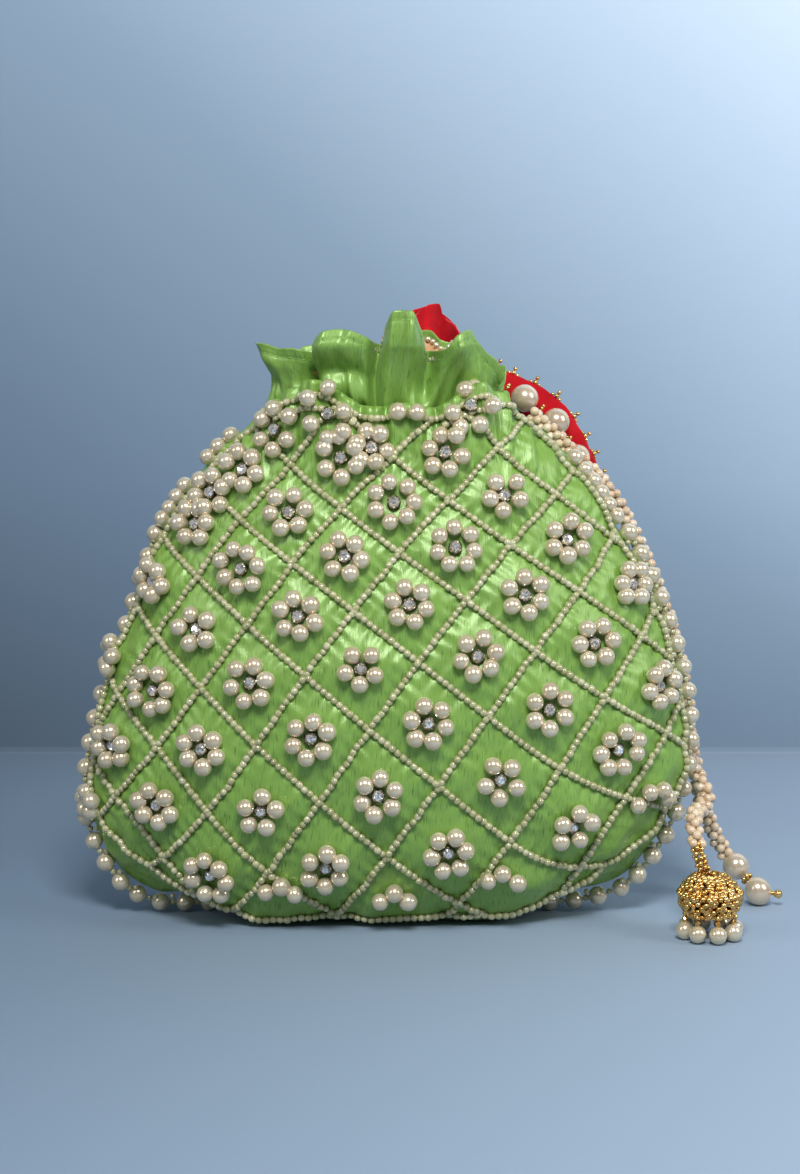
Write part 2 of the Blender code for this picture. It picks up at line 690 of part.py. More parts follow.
# First tassel: gold bead neck, woven gold ball and its fringe of pearls
jhumka_at = np.array([116.1, -42.0, 14.9]) + shift
jhumka_half = np.array([jhumka_width / 2, jhumka_width / 2, 8.2])
ball("jhumka_ball", jhumka_at, jhumka_half, gold_bead, 20, 10, 0.03)
rope_way = (line_a[-1] - line_a[-2]) / np.linalg.norm(line_a[-1] - line_a[-2])
neck_route = [line_a[-1] + rope_way * (gap + 0.5), line_a[-1] + rope_way * 3.4,
              jhumka_at + np.array([-2.0, 2.2, jhumka_half[2] + 1.1])]
neck_line = spline(neck_route, 0.7)
neck_radii = [2.75 + 0.4 * math.sin(k * 2.1) for k in range(len(neck_line))]
tube("gold_bead_neck", neck_line, neck_radii, 10, gold_bead, (1.0, 0.0, 0.0))
fringe_ring = jhumka_width / 2 - 1.6
half = fringe_pearl / 2
drop = ((0.1, 0.25), (0.7, 0.68), (1.9, 0.97), (1.0, 1.0), (1.35, 0.93), (0.95, 0.6), (0.35, 0.28),
        (0.6, 0.5), (1.1, 0.5), (0.95, 0.25))
for k in range(8):
    angle = 2 * math.pi * (k + 0.25) / 8
    c = jhumka_at + np.array([fringe_ring * math.cos(angle), fringe_ring * math.sin(angle), 0])
    heights = np.cumsum([rise for rise, _ in drop])
    path = [np.array([c[0], c[1], z]) for z in heights]
    tube("fringe_pearl_%d" % (k + 1), path, [half * r for _, r in drop], 8, cream_pearl)

# Second tassel: two big pearls with gold between and at the end
end_route = np.array([(132.1, 13.6, 12.4), (139.3, 4.1, 5.35)])
first_pearl, second_pearl = (np.array(p) + shift for p in end_route)
ball("tassel_pearl_1", first_pearl, np.full(3, handle_pearl / 2), cream_pearl, 12, 8)
ball("tassel_pearl_2", second_pearl, np.full(3, handle_pearl / 2), cream_pearl, 12, 8)
way = (second_pearl - first_pearl) / np.linalg.norm(second_pearl - first_pearl)
free = np.linalg.norm(second_pearl - first_pearl) - handle_pearl
between = [first_pearl + way * (handle_pearl / 2 + gap + 0.15 + (free - 2 * gap - 0.3) * f)
           for f in (0.0, 0.5, 1.0)]
tube("tassel_gold_spacer", between, [1.3, 2.4, 1.3], 8, gold_bead)
ball("tassel_end_bead", second_pearl + np.array([7.2, -2.0, -0.6]), np.full(3, 1.7), gold_bead, 8, 6)

# The origin lies under the middle of the standing bag, ropes and tassels left out
hanging = ("drawstring", "gold_bead", "jhumka", "fringe", "tassel")
solids = list(bpy.data.objects)
points = np.array([v.co[:] for obj in solids if not obj.name.startswith(hanging)
                   for v in obj.data.vertices])
middle = (points.min(axis=0) + points.max(axis=0)) / 2
holder = bpy.data.objects.new("potli_bag", None)
holder.location = (-middle[0], -middle[1], 0.0)
for obj in solids:
    obj.parent = holder
bpy.context.scene.collection.objects.link(holder)
print("origin moved by %.2f, %.2f mm" % (-middle[0] / mm, -middle[1] / mm))
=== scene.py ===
import math
import random

import bmesh
import bpy
import numpy as np
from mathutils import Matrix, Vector


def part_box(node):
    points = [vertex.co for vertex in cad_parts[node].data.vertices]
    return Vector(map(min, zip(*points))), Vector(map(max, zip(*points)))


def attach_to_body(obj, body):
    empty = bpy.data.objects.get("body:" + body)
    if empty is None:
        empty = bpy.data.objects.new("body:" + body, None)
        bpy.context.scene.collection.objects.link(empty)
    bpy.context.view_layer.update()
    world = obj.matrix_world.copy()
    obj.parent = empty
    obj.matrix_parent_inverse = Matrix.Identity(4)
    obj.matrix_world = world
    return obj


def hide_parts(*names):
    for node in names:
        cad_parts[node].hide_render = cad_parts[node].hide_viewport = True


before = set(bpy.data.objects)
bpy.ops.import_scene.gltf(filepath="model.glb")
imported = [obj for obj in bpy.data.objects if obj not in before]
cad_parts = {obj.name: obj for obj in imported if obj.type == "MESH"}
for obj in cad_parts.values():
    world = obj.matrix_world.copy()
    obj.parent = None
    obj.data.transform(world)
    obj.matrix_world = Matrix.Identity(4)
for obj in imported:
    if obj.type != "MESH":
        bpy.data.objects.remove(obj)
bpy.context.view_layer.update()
print("frame loaded")

mm = 0.001
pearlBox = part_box("tassel_pearl_2")
bagShift = (np.array(pearlBox[0]) + np.array(pearlBox[1])) / 2 / mm - np.array([139.3, 4.1, 5.35])
bagShift[2] = 0.0
print("bag shift in mm", np.round(bagShift, 2))


# Helpers for points and meshes
def scenePoints(points):
    return [tuple((np.asarray(p) + bagShift) * mm) for p in points]


def unit(v):
    return v / np.linalg.norm(v, axis=-1, keepdims=True)


def newObject(name, data):
    obj = bpy.data.objects.new(name, data)
    bpy.context.scene.collection.objects.link(obj)
    return obj


def toMesh(name, verts, faces, mat, smooth=True, uv=None):
    mesh = bpy.data.meshes.new(name)
    mesh.from_pydata(scenePoints(verts), [], faces)
    if uv is not None:
        layer = mesh.uv_layers.new(name="pattern")
        for loop in mesh.loops:
            layer.data[loop.index].uv = uv[loop.vertex_index]
    mesh.materials.append(mat)
    mesh.polygons.foreach_set("use_smooth", [smooth] * len(mesh.polygons))
    return newObject(name, mesh)


def thicken(obj, thick, offset=-1.0):
    wall = obj.modifiers.new("wall", "SOLIDIFY")
    wall.thickness = thick * mm
    wall.offset = offset


def attach(piece, slotName, *nodes):
    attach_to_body(piece, "root")
    if nodes:
        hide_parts(*nodes)


def gridFaces(rows, columns, closed=False):
    faces = []
    for a in range(rows - 1):
        for b in range(columns if closed else columns - 1):
            c = (b + 1) % columns
            faces.append((a * columns + b, a * columns + c, (a + 1) * columns + c, (a + 1) * columns + b))
    return faces


def smoothRows(x, y, q):
    # A curve through the rows that never swings past them
    h = np.diff(x)
    d = np.diff(y) / h
    m = np.zeros(len(x))
    for k in range(1, len(x) - 1):
        if d[k - 1] * d[k] > 0:
            w1, w2 = 2 * h[k] + h[k - 1], h[k] + 2 * h[k - 1]
            m[k] = (w1 + w2) / (w1 / d[k - 1] + w2 / d[k])
    m[0], m[-1] = d[0], d[-1]
    k = np.clip(np.searchsorted(x, q, side="right") - 1, 0, len(x) - 2)
    u = (q - x[k]) / h[k]
    low = (1 + 2 * u) * (1 - u) ** 2 * y[k] + u * (1 - u) ** 2 * h[k] * m[k]
    return low + u * u * (3 - 2 * u) * y[k + 1] + u * u * (u - 1) * h[k] * m[k + 1]


def runningLength(points):
    return np.concatenate([[0], np.cumsum(np.linalg.norm(np.diff(points, axis=0), axis=1))])


def pointsAt(at, run, points):
    return np.stack([np.interp(at, run, points[:, c]) for c in range(points.shape[1])], -1)


def resampled(line, count):
    run = runningLength(line)
    return pointsAt(np.linspace(0, run[-1], count), run, line)


def spline(points, step):
    p = [np.asarray(q, float) for q in points]
    p = [2 * p[0] - p[1]] + p + [2 * p[-1] - p[-2]]
    fine = []
    for k in range(1, len(p) - 2):
        for u in np.linspace(0, 1, 24, endpoint=False):
            a, b, c, d = p[k - 1:k + 3]
            fine.append(0.5 * (2 * b + (c - a) * u + (2 * a - 5 * b + 4 * c - d) * u * u
                               + (3 * b - a - 3 * c + d) * u ** 3))
    fine = np.array(fine + [p[-2]])
    return resampled(fine, max(2, int(round(runningLength(fine)[-1] / step)) + 1))


# Helpers for materials
def newMaterial(name, colour, rough, **sockets):
    mat = bpy.data.materials.new(name)
    mat.use_nodes = True
    shader = mat.node_tree.nodes["Principled BSDF"]
    shader.inputs["Base Color"].default_value = (*colour, 1.0)
    shader.inputs["Roughness"].default_value = rough
    for label, value in sockets.items():
        shader.inputs[label.replace("_", " ")].default_value = value
    return mat, mat.node_tree, shader


def addNode(tree, kind, settings=None, **values):
    node = tree.nodes.new(kind)
    for key, value in (settings or {}).items():
        setattr(node, key, value)
    for label, value in values.items():
        node.inputs[label.replace("_", " ")].default_value = value
    return node


def noiseOn(tree, source, scale, detail=3.0, stretch=(1, 1, 1), rough=0.5):
    place = addNode(tree, "ShaderNodeMapping", Scale=stretch)
    tree.links.new(source, place.inputs["Vector"])
    noise = addNode(tree, "ShaderNodeTexNoise", Scale=scale, Detail=detail, Roughness=rough)
    tree.links.new(place.outputs["Vector"], noise.inputs["Vector"])
    return noise.outputs["Fac"]


def rampOf(tree, value, stops):
    ramp = addNode(tree, "ShaderNodeValToRGB")
    band = ramp.color_ramp
    while len(band.elements) < len(stops):
        band.elements.new(0.5)
    for element, (place, colour) in zip(band.elements, stops):
        element.position = place
        element.color = (*colour, 1.0) if len(colour) == 3 else colour
    tree.links.new(value, ramp.inputs["Fac"])
    return ramp.outputs["Color"]


def greyRamp(tree, value, low, high, a=0.0, b=1.0):
    scale = addNode(tree, "ShaderNodeMapRange", From_Min=low, From_Max=high, To_Min=a, To_Max=b)
    tree.links.new(value, scale.inputs["Value"])
    return scale.outputs["Result"]


def mixColours(tree, fac, a, b, blend="MIX"):
    mix = addNode(tree, "ShaderNodeMix", {"data_type": "RGBA", "blend_type": blend})
    for socket, value in ((mix.inputs[0], fac), (mix.inputs[6], a), (mix.inputs[7], b)):
        if hasattr(value, "node"):
            tree.links.new(value, socket)
        elif isinstance(value, (int, float)):
            socket.default_value = value
        else:
            socket.default_value = (*value, 1.0)
    return mix.outputs[2]


def addBump(tree, shader, heights, strength, distance):
    last = None
    for value, part in heights:
        bump = addNode(tree, "ShaderNodeBump", Strength=strength * part, Distance=distance)
        tree.links.new(value, bump.inputs["Height"])
        if last is not None:
            tree.links.new(last, bump.inputs["Normal"])
        last = bump.outputs["Normal"]
    tree.links.new(last, shader.inputs["Normal"])


silk = {"colour": (0.198, 0.365, 0.064), "deep": (0.122, 0.245, 0.034), "light": (0.29, 0.475, 0.11),
        "slub": 26.0, "rough": 0.36, "sheen": 0.18}


def silkMaterial(name):
    mat, tree, shader = newMaterial(name, silk["colour"], silk["rough"], Sheen_Weight=silk["sheen"],
                                    Sheen_Roughness=0.35, Sheen_Tint=(0.8, 1.0, 0.6, 1.0),
                                    Specular_IOR_Level=0.62, Metallic=0.12)
    source = addNode(tree, "ShaderNodeTexCoord").outputs["UV"]
    slub = noiseOn(tree, source, silk["slub"], 4.0, (14.0, 1.0, 14.0), 0.6)
    weft = noiseOn(tree, source, 60.0, 2.0, (1.0, 16.0, 1.0), 0.5)
    cloudy = noiseOn(tree, source, 2.2, 3.0)
    tone = rampOf(tree, slub, [(0.32, silk["deep"]), (0.5, silk["colour"]), (0.72, silk["light"])])
    tone = mixColours(tree, greyRamp(tree, cloudy, 0.3, 0.7, 0.2, 0.7), tone, silk["colour"])
    dashes = noiseOn(tree, source, 24.0, 1.0, (10.0, 0.7, 10.0), 0.4)
    tone = mixColours(tree, greyRamp(tree, dashes, 0.62, 0.70, 0.0, 0.8), tone, (0.07, 0.16, 0.02))
    tree.links.new(tone, shader.inputs["Base Color"])
    tree.links.new(greyRamp(tree, slub, 0.3, 0.7, 0.42, 0.26), shader.inputs["Roughness"])
    addBump(tree, shader, [(slub, 0.8), (weft, 0.6), (dashes, 0.8)], 0.24, 0.0003)
    return mat


def pearlMaterial(name, colour, warm, rough=0.24):
    mat, tree, shader = newMaterial(name, colour, rough, Coat_Weight=1.0, Coat_Roughness=0.06,
                                    Metallic=0.45, Specular_IOR_Level=0.8, Coat_IOR=1.6,
                                    Sheen_Weight=0.3, Sheen_Roughness=0.45, Sheen_Tint=(1.0, 0.84, 0.55, 1.0))
    source = addNode(tree, "ShaderNodeTexCoord").outputs["Object"]
    broad = noiseOn(tree, source, 95.0, 2.0)
    fine = noiseOn(tree, source, 900.0, 3.0)
    tone = mixColours(tree, greyRamp(tree, broad, 0.35, 0.65), colour, warm)
    tree.links.new(tone, shader.inputs["Base Color"])
    addBump(tree, shader, [(fine, 1.0)], 0.05, 0.0002)
    return mat


def speckled(name, colour, rough, grain, stops, coordinate="Object", **sockets):
    # The colour wanders between the stops; grain is the scale and detail of the noise
    mat, tree, shader = newMaterial(name, colour, rough, **sockets)
    source = addNode(tree, "ShaderNodeTexCoord").outputs[coordinate]
    spots = noiseOn(tree, source, *grain)
    tree.links.new(rampOf(tree, spots, stops), shader.inputs["Base Color"])
    return mat, tree, shader, source, spots


silkGreen = silkMaterial("silkGreen")
pearlIvory = pearlMaterial("pearlIvory", (0.68, 0.60, 0.44), (0.62, 0.52, 0.35))
pearlBig = pearlMaterial("pearlBig", (0.70, 0.58, 0.43), (0.63, 0.49, 0.34))
cutGlass = speckled("cutGlass", (0.46, 0.45, 0.23), 0.1, (260.0, 1.0),
                    [(0.3, (0.36, 0.36, 0.16)), (0.5, (0.46, 0.45, 0.23)), (0.7, (0.60, 0.58, 0.36))],
                    Transmission_Weight=0.15, Coat_Weight=0.9, Coat_Roughness=0.05, IOR=1.5,
                    Specular_IOR_Level=0.7)[0]
peachGlass = speckled("peachGlass", (0.86, 0.74, 0.56), 0.16, (180.0, 1.0),
                      [(0.3, (0.55, 0.36, 0.20)), (0.5, (0.74, 0.56, 0.37)), (0.7, (0.86, 0.74, 0.55))],
                      Transmission_Weight=0.12, Coat_Weight=0.8, Coat_Roughness=0.08,
                      Specular_IOR_Level=0.6)[0]
clearStone = speckled("clearStone", (0.92, 0.93, 0.95), 0.04, (1400.0, 0.0),
                      [(0.35, (0.45, 0.44, 0.42)), (0.5, (0.9, 0.9, 0.92)), (0.62, (1.0, 1.0, 1.0))],
                      Metallic=0.75, Coat_Weight=1.0, Coat_Roughness=0.02)[0]
cupMetal = speckled("cupMetal", (0.20, 0.15, 0.10), 0.34, (700.0, 2.0),
                    [(0.4, (0.07, 0.055, 0.045)), (0.65, (0.42, 0.33, 0.2))], Metallic=1.0)[0]
goldMetal, tree, shader, source, spots = speckled(
    "goldMetal", (0.86, 0.58, 0.24), 0.2, (420.0, 2.0),
    [(0.3, (0.46, 0.24, 0.06)), (0.5, (0.74, 0.46, 0.15)), (0.75, (0.93, 0.70, 0.36))], Metallic=1.0)
tree.links.new(greyRamp(tree, spots, 0.3, 0.7, 0.3, 0.15), shader.inputs["Roughness"])
darkCore = speckled("darkCore", (0.10, 0.055, 0.02), 0.6, (500.0, 2.0),
                    [(0.35, (0.05, 0.03, 0.012)), (0.7, (0.17, 0.095, 0.035))])[0]
redVelvet, tree, shader, source, brushed = speckled(
    "redVelvet", (0.46, 0.004, 0.012), 0.85, (60.0, 3.0),
    [(0.3, (0.30, 0.001, 0.006)), (0.5, (0.47, 0.005, 0.012)), (0.72, (0.62, 0.015, 0.02))],
    Sheen_Weight=1.0, Sheen_Roughness=0.4, Sheen_Tint=(1.0, 0.18, 0.16, 1.0), Specular_IOR_Level=0.15)
addBump(tree, shader, [(noiseOn(tree, source, 1600.0, 2.0), 1.0), (brushed, 0.5)], 0.5, 0.0004)
tanSatin, tree, shader, source, weave = speckled(
    "tanSatin", (0.62, 0.35, 0.15), 0.34, (40.0, 3.0, (1.0, 12.0, 1.0)),
    [(0.3, (0.48, 0.24, 0.09)), (0.5, (0.63, 0.36, 0.16)), (0.75, (0.80, 0.55, 0.30))], "UV",
    Sheen_Weight=0.4, Sheen_Roughness=0.3, Specular_IOR_Level=0.6)
addBump(tree, shader, [(weave, 1.0)], 0.3, 0.0003)
greenThread = speckled("greenThread", (0.24, 0.46, 0.10), 0.55, (1500.0, 1.0),
                       [(0.35, (0.15, 0.33, 0.06)), (0.65, (0.30, 0.55, 0.14))], Sheen_Weight=0.3)[0]
print("materials made")


# Geometry Nodes trees: beads in a row on lines, and beads on single points
def newTree(name, inputs):
    tree = bpy.data.node_groups.new(name, "GeometryNodeTree")
    tree.interface.new_socket("Geometry", in_out="INPUT", socket_type="NodeSocketGeometry")
    for label, kind, value in inputs:
        socket = tree.interface.new_socket(label, in_out="INPUT", socket_type="NodeSocket" + kind)
        if value is not None:
            socket.default_value = value
    tree.interface.new_socket("Geometry", in_out="OUTPUT", socket_type="NodeSocketGeometry")
    start = tree.nodes.new("NodeGroupInput")
    end = tree.nodes.new("NodeGroupOutput")
    return tree, start, end


def step(tree, kind, links=(), settings=None, values=()):
    # A node with its settings and values; a link is an input, a node and that node's output
    node = addNode(tree, kind, settings)
    for place, value in values:
        node.inputs[place].default_value = value
    for place, other, out in links:
        tree.links.new(other.outputs[out], node.inputs[place])
    return node


def finishTree(tree, start, end, instances):
    flat = step(tree, "GeometryNodeRealizeInstances", [("Geometry", instances, "Instances")])
    smooth = step(tree, "GeometryNodeSetShadeSmooth",
                  [("Geometry", flat, "Geometry"), ("Shade Smooth", start, "Smooth")])
    paint = step(tree, "GeometryNodeSetMaterial",
                 [("Geometry", smooth, "Geometry"), ("Material", start, "Material")])
    tree.links.new(paint.outputs["Geometry"], end.inputs["Geometry"])
    return tree


def tubeBead(tree, start):
    # A short cut tube whose two ends are drawn in
    tube = step(tree, "GeometryNodeMeshCylinder", [("Vertices", start, "Segments")],
                values=[("Side Segments", 3), ("Radius", 0.5), ("Depth", 1.0)])
    place = step(tree, "GeometryNodeInputPosition")
    parts = step(tree, "ShaderNodeSeparateXYZ", [("Vector", place, "Position")])
    height = step(tree, "ShaderNodeMath", [(0, parts, "Z")], {"operation": "ABSOLUTE"})
    atEnd = step(tree, "FunctionNodeCompare", [(0, height, 0)], {"operation": "GREATER_THAN"}, [(1, 0.4)])
    drawn = step(tree, "ShaderNodeVectorMath", [(0, place, "Position")], {"operation": "MULTIPLY"},
                 [(1, (0.66, 0.66, 1.0))])
    return step(tree, "GeometryNodeSetPosition",
                [("Geometry", tube, "Mesh"), ("Selection", atEnd, "Result"), ("Position", drawn, "Vector")])


def ballBead(tree, start):
    return step(tree, "GeometryNodeMeshUVSphere", [("Segments", start, "Segments"), ("Rings", start, "Rings")],
                values=[("Radius", 0.5)])


def randomVector(tree, start, low, high):
    return step(tree, "FunctionNodeRandomValue", [("Seed", start, "Seed")], {"data_type": "FLOAT_VECTOR"},
                [(0, low), (1, high)])


def randomTurn(tree, start, low, high):
    return step(tree, "FunctionNodeEulerToRotation", [(0, randomVector(tree, start, low, high), 0)])


def rowTree(name, tube):
    tree, start, end = newTree(name, [
        ("Spacing", "Float", 0.002), ("Width", "Float", 0.002), ("Length", "Float", 0.002),
        ("Vary", "Float", 0.06), ("Segments", "Int", 8), ("Rings", "Int", 5), ("Smooth", "Bool", True),
        ("Seed", "Int", 1), ("Material", "Material", None)])
    curve = step(tree, "GeometryNodeMeshToCurve", [("Mesh", start, "Geometry")])
    even = step(tree, "GeometryNodeResampleCurve", [("Curve", curve, "Curve"), ("Length", start, "Spacing")],
                {"mode": "LENGTH"})
    bead = tubeBead(tree, start) if tube else ballBead(tree, start)
    along = step(tree, "GeometryNodeInputTangent")
    turn = step(tree, "FunctionNodeAlignRotationToVector", [("Vector", along, "Tangent")], {"axis": "Z"})
    spin = randomTurn(tree, start, (-0.12, -0.12, -3.0), (0.12, 0.12, 3.0))
    both = step(tree, "FunctionNodeRotateRotation", [(0, turn, 0), (1, spin, 0)], {"rotation_space": "LOCAL"})
    size = step(tree, "ShaderNodeCombineXYZ",
                [("X", start, "Width"), ("Y", start, "Width"), ("Z", start, "Length")])
    low, high = (step(tree, "ShaderNodeMath", [(1, start, "Vary")], {"operation": kind}, [(0, 1.0)])
                 for kind in ("SUBTRACT", "ADD"))
    vary = step(tree, "FunctionNodeRandomValue", [(2, low, 0), (3, high, 0), ("Seed", start, "Seed")],
                {"data_type": "FLOAT"})
    scaled = step(tree, "ShaderNodeVectorMath", [(0, size, 0), ("Scale", vary, 1)], {"operation": "SCALE"})
    put = step(tree, "GeometryNodeInstanceOnPoints",
               [("Points", even, "Curve"), ("Instance", bead, "Geometry" if tube else "Mesh"),
                ("Rotation", both, 0), ("Scale", scaled, 0)])
    return finishTree(tree, start, end, put)


def pointTree():
    tree, start, end = newTree("beadPoint", [
        ("Diameter", "Float", 0.006), ("Segments", "Int", 16), ("Rings", "Int", 10),
        ("Smooth", "Bool", True), ("Seed", "Int", 1), ("Material", "Material", None)])
    bead = ballBead(tree, start)
    spin = randomTurn(tree, start, (-3.0, -3.0, -3.0), (3.0, 3.0, 3.0))
    vary = randomVector(tree, start, (0.955, 0.955, 0.955), (1.03, 1.03, 1.03))
    factor = step(tree, "GeometryNodeInputNamedAttribute", (), {"data_type": "FLOAT"}, [("Name", "size")])
    whole = step(tree, "ShaderNodeMath", [(0, start, "Diameter"), (1, factor, "Attribute")],
                 {"operation": "MULTIPLY"})
    scaled = step(tree, "ShaderNodeVectorMath", [(0, vary, 0), ("Scale", whole, 0)], {"operation": "SCALE"})
    put = step(tree, "GeometryNodeInstanceOnPoints",
               [("Points", start, "Geometry"), ("Instance", bead, "Mesh"), ("Rotation", spin, 0),
                ("Scale", scaled, 0)])
    return finishTree(tree, start, end, put)


beadRow = rowTree("beadRow", False)
cutRow = rowTree("cutRow", True)
beadPoint = pointTree()


def bakeTree(name, mesh, tree, values):
    carrier = newObject(name + "Lines", mesh)
    mod = carrier.modifiers.new("nodes", "NODES")
    mod.node_group = tree
    for item in tree.interface.items_tree:
        if item.item_type == "SOCKET" and item.in_out == "INPUT" and item.name in values:
            mod[item.identifier] = values[item.name]
    graph = bpy.context.evaluated_depsgraph_get()
    made = bpy.data.meshes.new_from_object(carrier.evaluated_get(graph), depsgraph=graph)
    bpy.data.objects.remove(carrier, do_unlink=True)
    made.name = name
    return newObject(name, made)


# A bead is its spacing, width and length in mm; detail is its segments and rings
def beadsOnLines(name, lines, bead, vary, detail, seed, mat, tree=beadRow):
    verts, edges = [], []
    for line in lines:
        first = len(verts)
        verts += scenePoints(line)
        edges += [(first + k, first + k + 1) for k in range(len(line) - 1)]
    mesh = bpy.data.meshes.new(name)
    mesh.from_pydata(verts, edges, [])
    return bakeTree(name, mesh, tree, {
        "Spacing": bead[0] * mm, "Width": bead[1] * mm, "Length": bead[2] * mm, "Vary": vary,
        "Segments": detail[0], "Rings": detail[1], "Seed": seed, "Material": mat})


def beadsOnPoints(name, points, sizes, diameter, detail, seed, mat, **more):
    mesh = bpy.data.meshes.new(name)
    mesh.from_pydata(scenePoints(points), [], [])
    data = mesh.attributes.new("size", "FLOAT", "POINT").data
    data.foreach_set("value", np.asarray(sizes, np.float32))
    return bakeTree(name, mesh, beadPoint, {
        "Diameter": diameter * mm, "Segments": detail[0], "Rings": detail[1], "Seed": seed,
        "Material": mat, **more})


# The stuffed body, as in the part: seam height, underside height, left, right, depth
bodyRows = np.array([
    (7.5, 7.5, 84.0, 66.0, 0.0), (8.4, 6.4, 87.0, 71.0, 4.2), (9.6, 2.0, 89.5, 76.5, 7.6),
    (11.4, 0.0, 93.0, 82.5, 9.8), (15.5, 0.0, 98.5, 89.6, 14.5), (23.8, 4.5, 104.4, 96.6, 25.0),
    (37.5, 17.5, 110.2, 104.5, 36.5), (50.0, 35.0, 110.9, 108.3, 43.0), (66.0, 56.0, 109.3, 110.8, 46.0),
    (83.0, 78.0, 106.0, 109.5, 45.5), (102.0, 100.0, 99.8, 104.4, 42.5), (122.0, 121.5, 92.7, 97.0, 37.5),
    (142.0, 142.0, 84.7, 86.3, 32.0), (160.0, 160.0, 73.0, 75.0, 27.0), (174.0, 174.0, 60.5, 63.0, 23.0),
    (187.0, 187.0, 44.0, 46.0, 20.0)])
lobes = ((-27.0, 13.0, 12.5), (6.0, 8.0, 3.0), (34.0, 10.0, 11.0))
rowAt = np.arange(len(bodyRows), dtype=float)
across = np.linspace(-1, 1, 241)
middle = len(across) // 2
levels = np.linspace(0, len(bodyRows) - 1, 421)


def bodyRow(v):
    seam, under, left, right, depth = (smoothRows(rowAt, bodyRows[:, c], v) for c in range(5))
    blend = np.clip((np.abs(across) - 0.42) / 0.58, 0, 1)
    blend = blend * blend * (3 - 2 * blend)
    x = (right - left) / 2 + (right + left) / 2 * across
    y = -depth * np.maximum(1 - np.abs(across) ** 2.2, 0) ** 0.55
    return np.stack([x, y, under + (seam - under) * blend], 1)


body = np.array([bodyRow(v) for v in levels])
tOfLevel = runningLength(body[:, middle])
span = np.linalg.norm(np.diff(body, axis=1), axis=2)
sOfLevel = np.concatenate([np.zeros((len(levels), 1)), np.cumsum(span, axis=1)], 1)
sOfLevel -= sOfLevel[:, middle:middle + 1]
tTop = tOfLevel[-1]
tOfRow = np.interp(rowAt, levels, tOfLevel)
tFoot = tOfRow[4]


def halfSpan(t, right):
    return np.interp(t, tOfLevel, sOfLevel[:, -1] if right else -sOfLevel[:, 0])


def bodyAt(t):
    k = min(int(np.searchsorted(tOfLevel, t, side="right")) - 1, len(levels) - 2)
    f = (t - tOfLevel[k]) / (tOfLevel[k + 1] - tOfLevel[k])
    return sOfLevel[k] * (1 - f) + sOfLevel[k + 1] * f, body[k] * (1 - f) + body[k + 1] * f


def bareSurface(s, t):
    return pointsAt(s, *bodyAt(t))


def puffed(p, back):
    x, y, z = p[..., 0], p[..., 1], p[..., 2]
    ramp = np.clip((z - 160) / 27, 0, 1) ** 1.6
    rise = sum(h * np.exp(-(((x - c) / w) ** 2)) for c, w, h in lobes)
    rise = rise * ramp * (0.45 if back else 1.0)
    return np.stack([x, y - 0.45 * rise, z + rise], -1)


def cornerShift(x, z):
    # How far the low corners of the bag come forward
    low = np.maximum(0.0, 1 - z / 100)
    return 9.0 * (x / 100) ** 2 * low * low


def placed(p, back):
    y = p[..., 1] - 0.15
    y = -y if back else y
    return np.stack([p[..., 0], y - cornerShift(p[..., 0], p[..., 2]), p[..., 2]], -1)


# Where a place lies in the bead lattice: cell centres at whole numbers, bead lines at the halves
lattice = {"pitch": 30.5, "bead": (2.6, 2.6, 2.55), "lift": 0.42, "vary": 0.08, "secondRow": 3.1}


def latticePoint(i, j):
    s = -0.384 + 0.772 * i + 0.562 * j + 0.0334 * i * i - 0.0105 * i * j + 0.0059 * j * j
    t = 4.226 - 0.606 * i + 0.772 * j - 0.0207 * i * i + 0.0210 * i * j - 0.0331 * j * j
    return np.array([s, t]) * lattice["pitch"]


def cellOf(s, t):
    # Solved by steps, since the lattice bends
    x, y = s / lattice["pitch"], t / lattice["pitch"]
    i, j = np.zeros_like(x), np.zeros_like(x)
    for _ in range(14):
        now = latticePoint(i, j) / lattice["pitch"]
        dx, dy = x - now[0], y - now[1]
        i = np.clip(i + 0.9 * (0.772 * dx - 0.562 * dy) / 0.9366, -9, 9)
        j = np.clip(j + 0.9 * (0.606 * dx + 0.772 * dy) / 0.9366, -9, 9)
    return i, j


def waves(a, b, seed, octaves=4):
    pick = random.Random(seed)
    total = np.zeros_like(a)
    for k in range(octaves):
        angle, phase, size = pick.uniform(0, math.pi), pick.uniform(0, 6.28), pick.uniform(0.7, 1.5)
        total += np.sin((a * math.cos(angle) + b * math.sin(angle)) * size + phase) / octaves
    return total


def creases(a, b, seed, octaves=3):
    # Sharp-backed soft folds that cross at several angles
    pick = random.Random(seed)
    total = np.zeros_like(a)
    for k in range(octaves):
        angle, phase, size = pick.uniform(0, math.pi), pick.uniform(0, 6.28), pick.uniform(0.8, 1.3)
        bend = 0.8 * np.sin(a * 0.31 + phase) + 0.8 * np.sin(b * 0.27 + phase)
        total += 1 - np.abs(np.sin((a * math.cos(angle) + b * math.sin(angle)) * size + bend + phase))
    return (total / octaves - 0.36) * 2


cloth = {"puff": 2.1, "pucker": 0.5, "wrinkle": 1.1, "crease": 1.25, "fine": 0.5, "gather": 1.7,
         "columns": 280, "rows": 190, "footRows": 16, "rollRows": 10, "pleats": 34, "thick": 1.2}


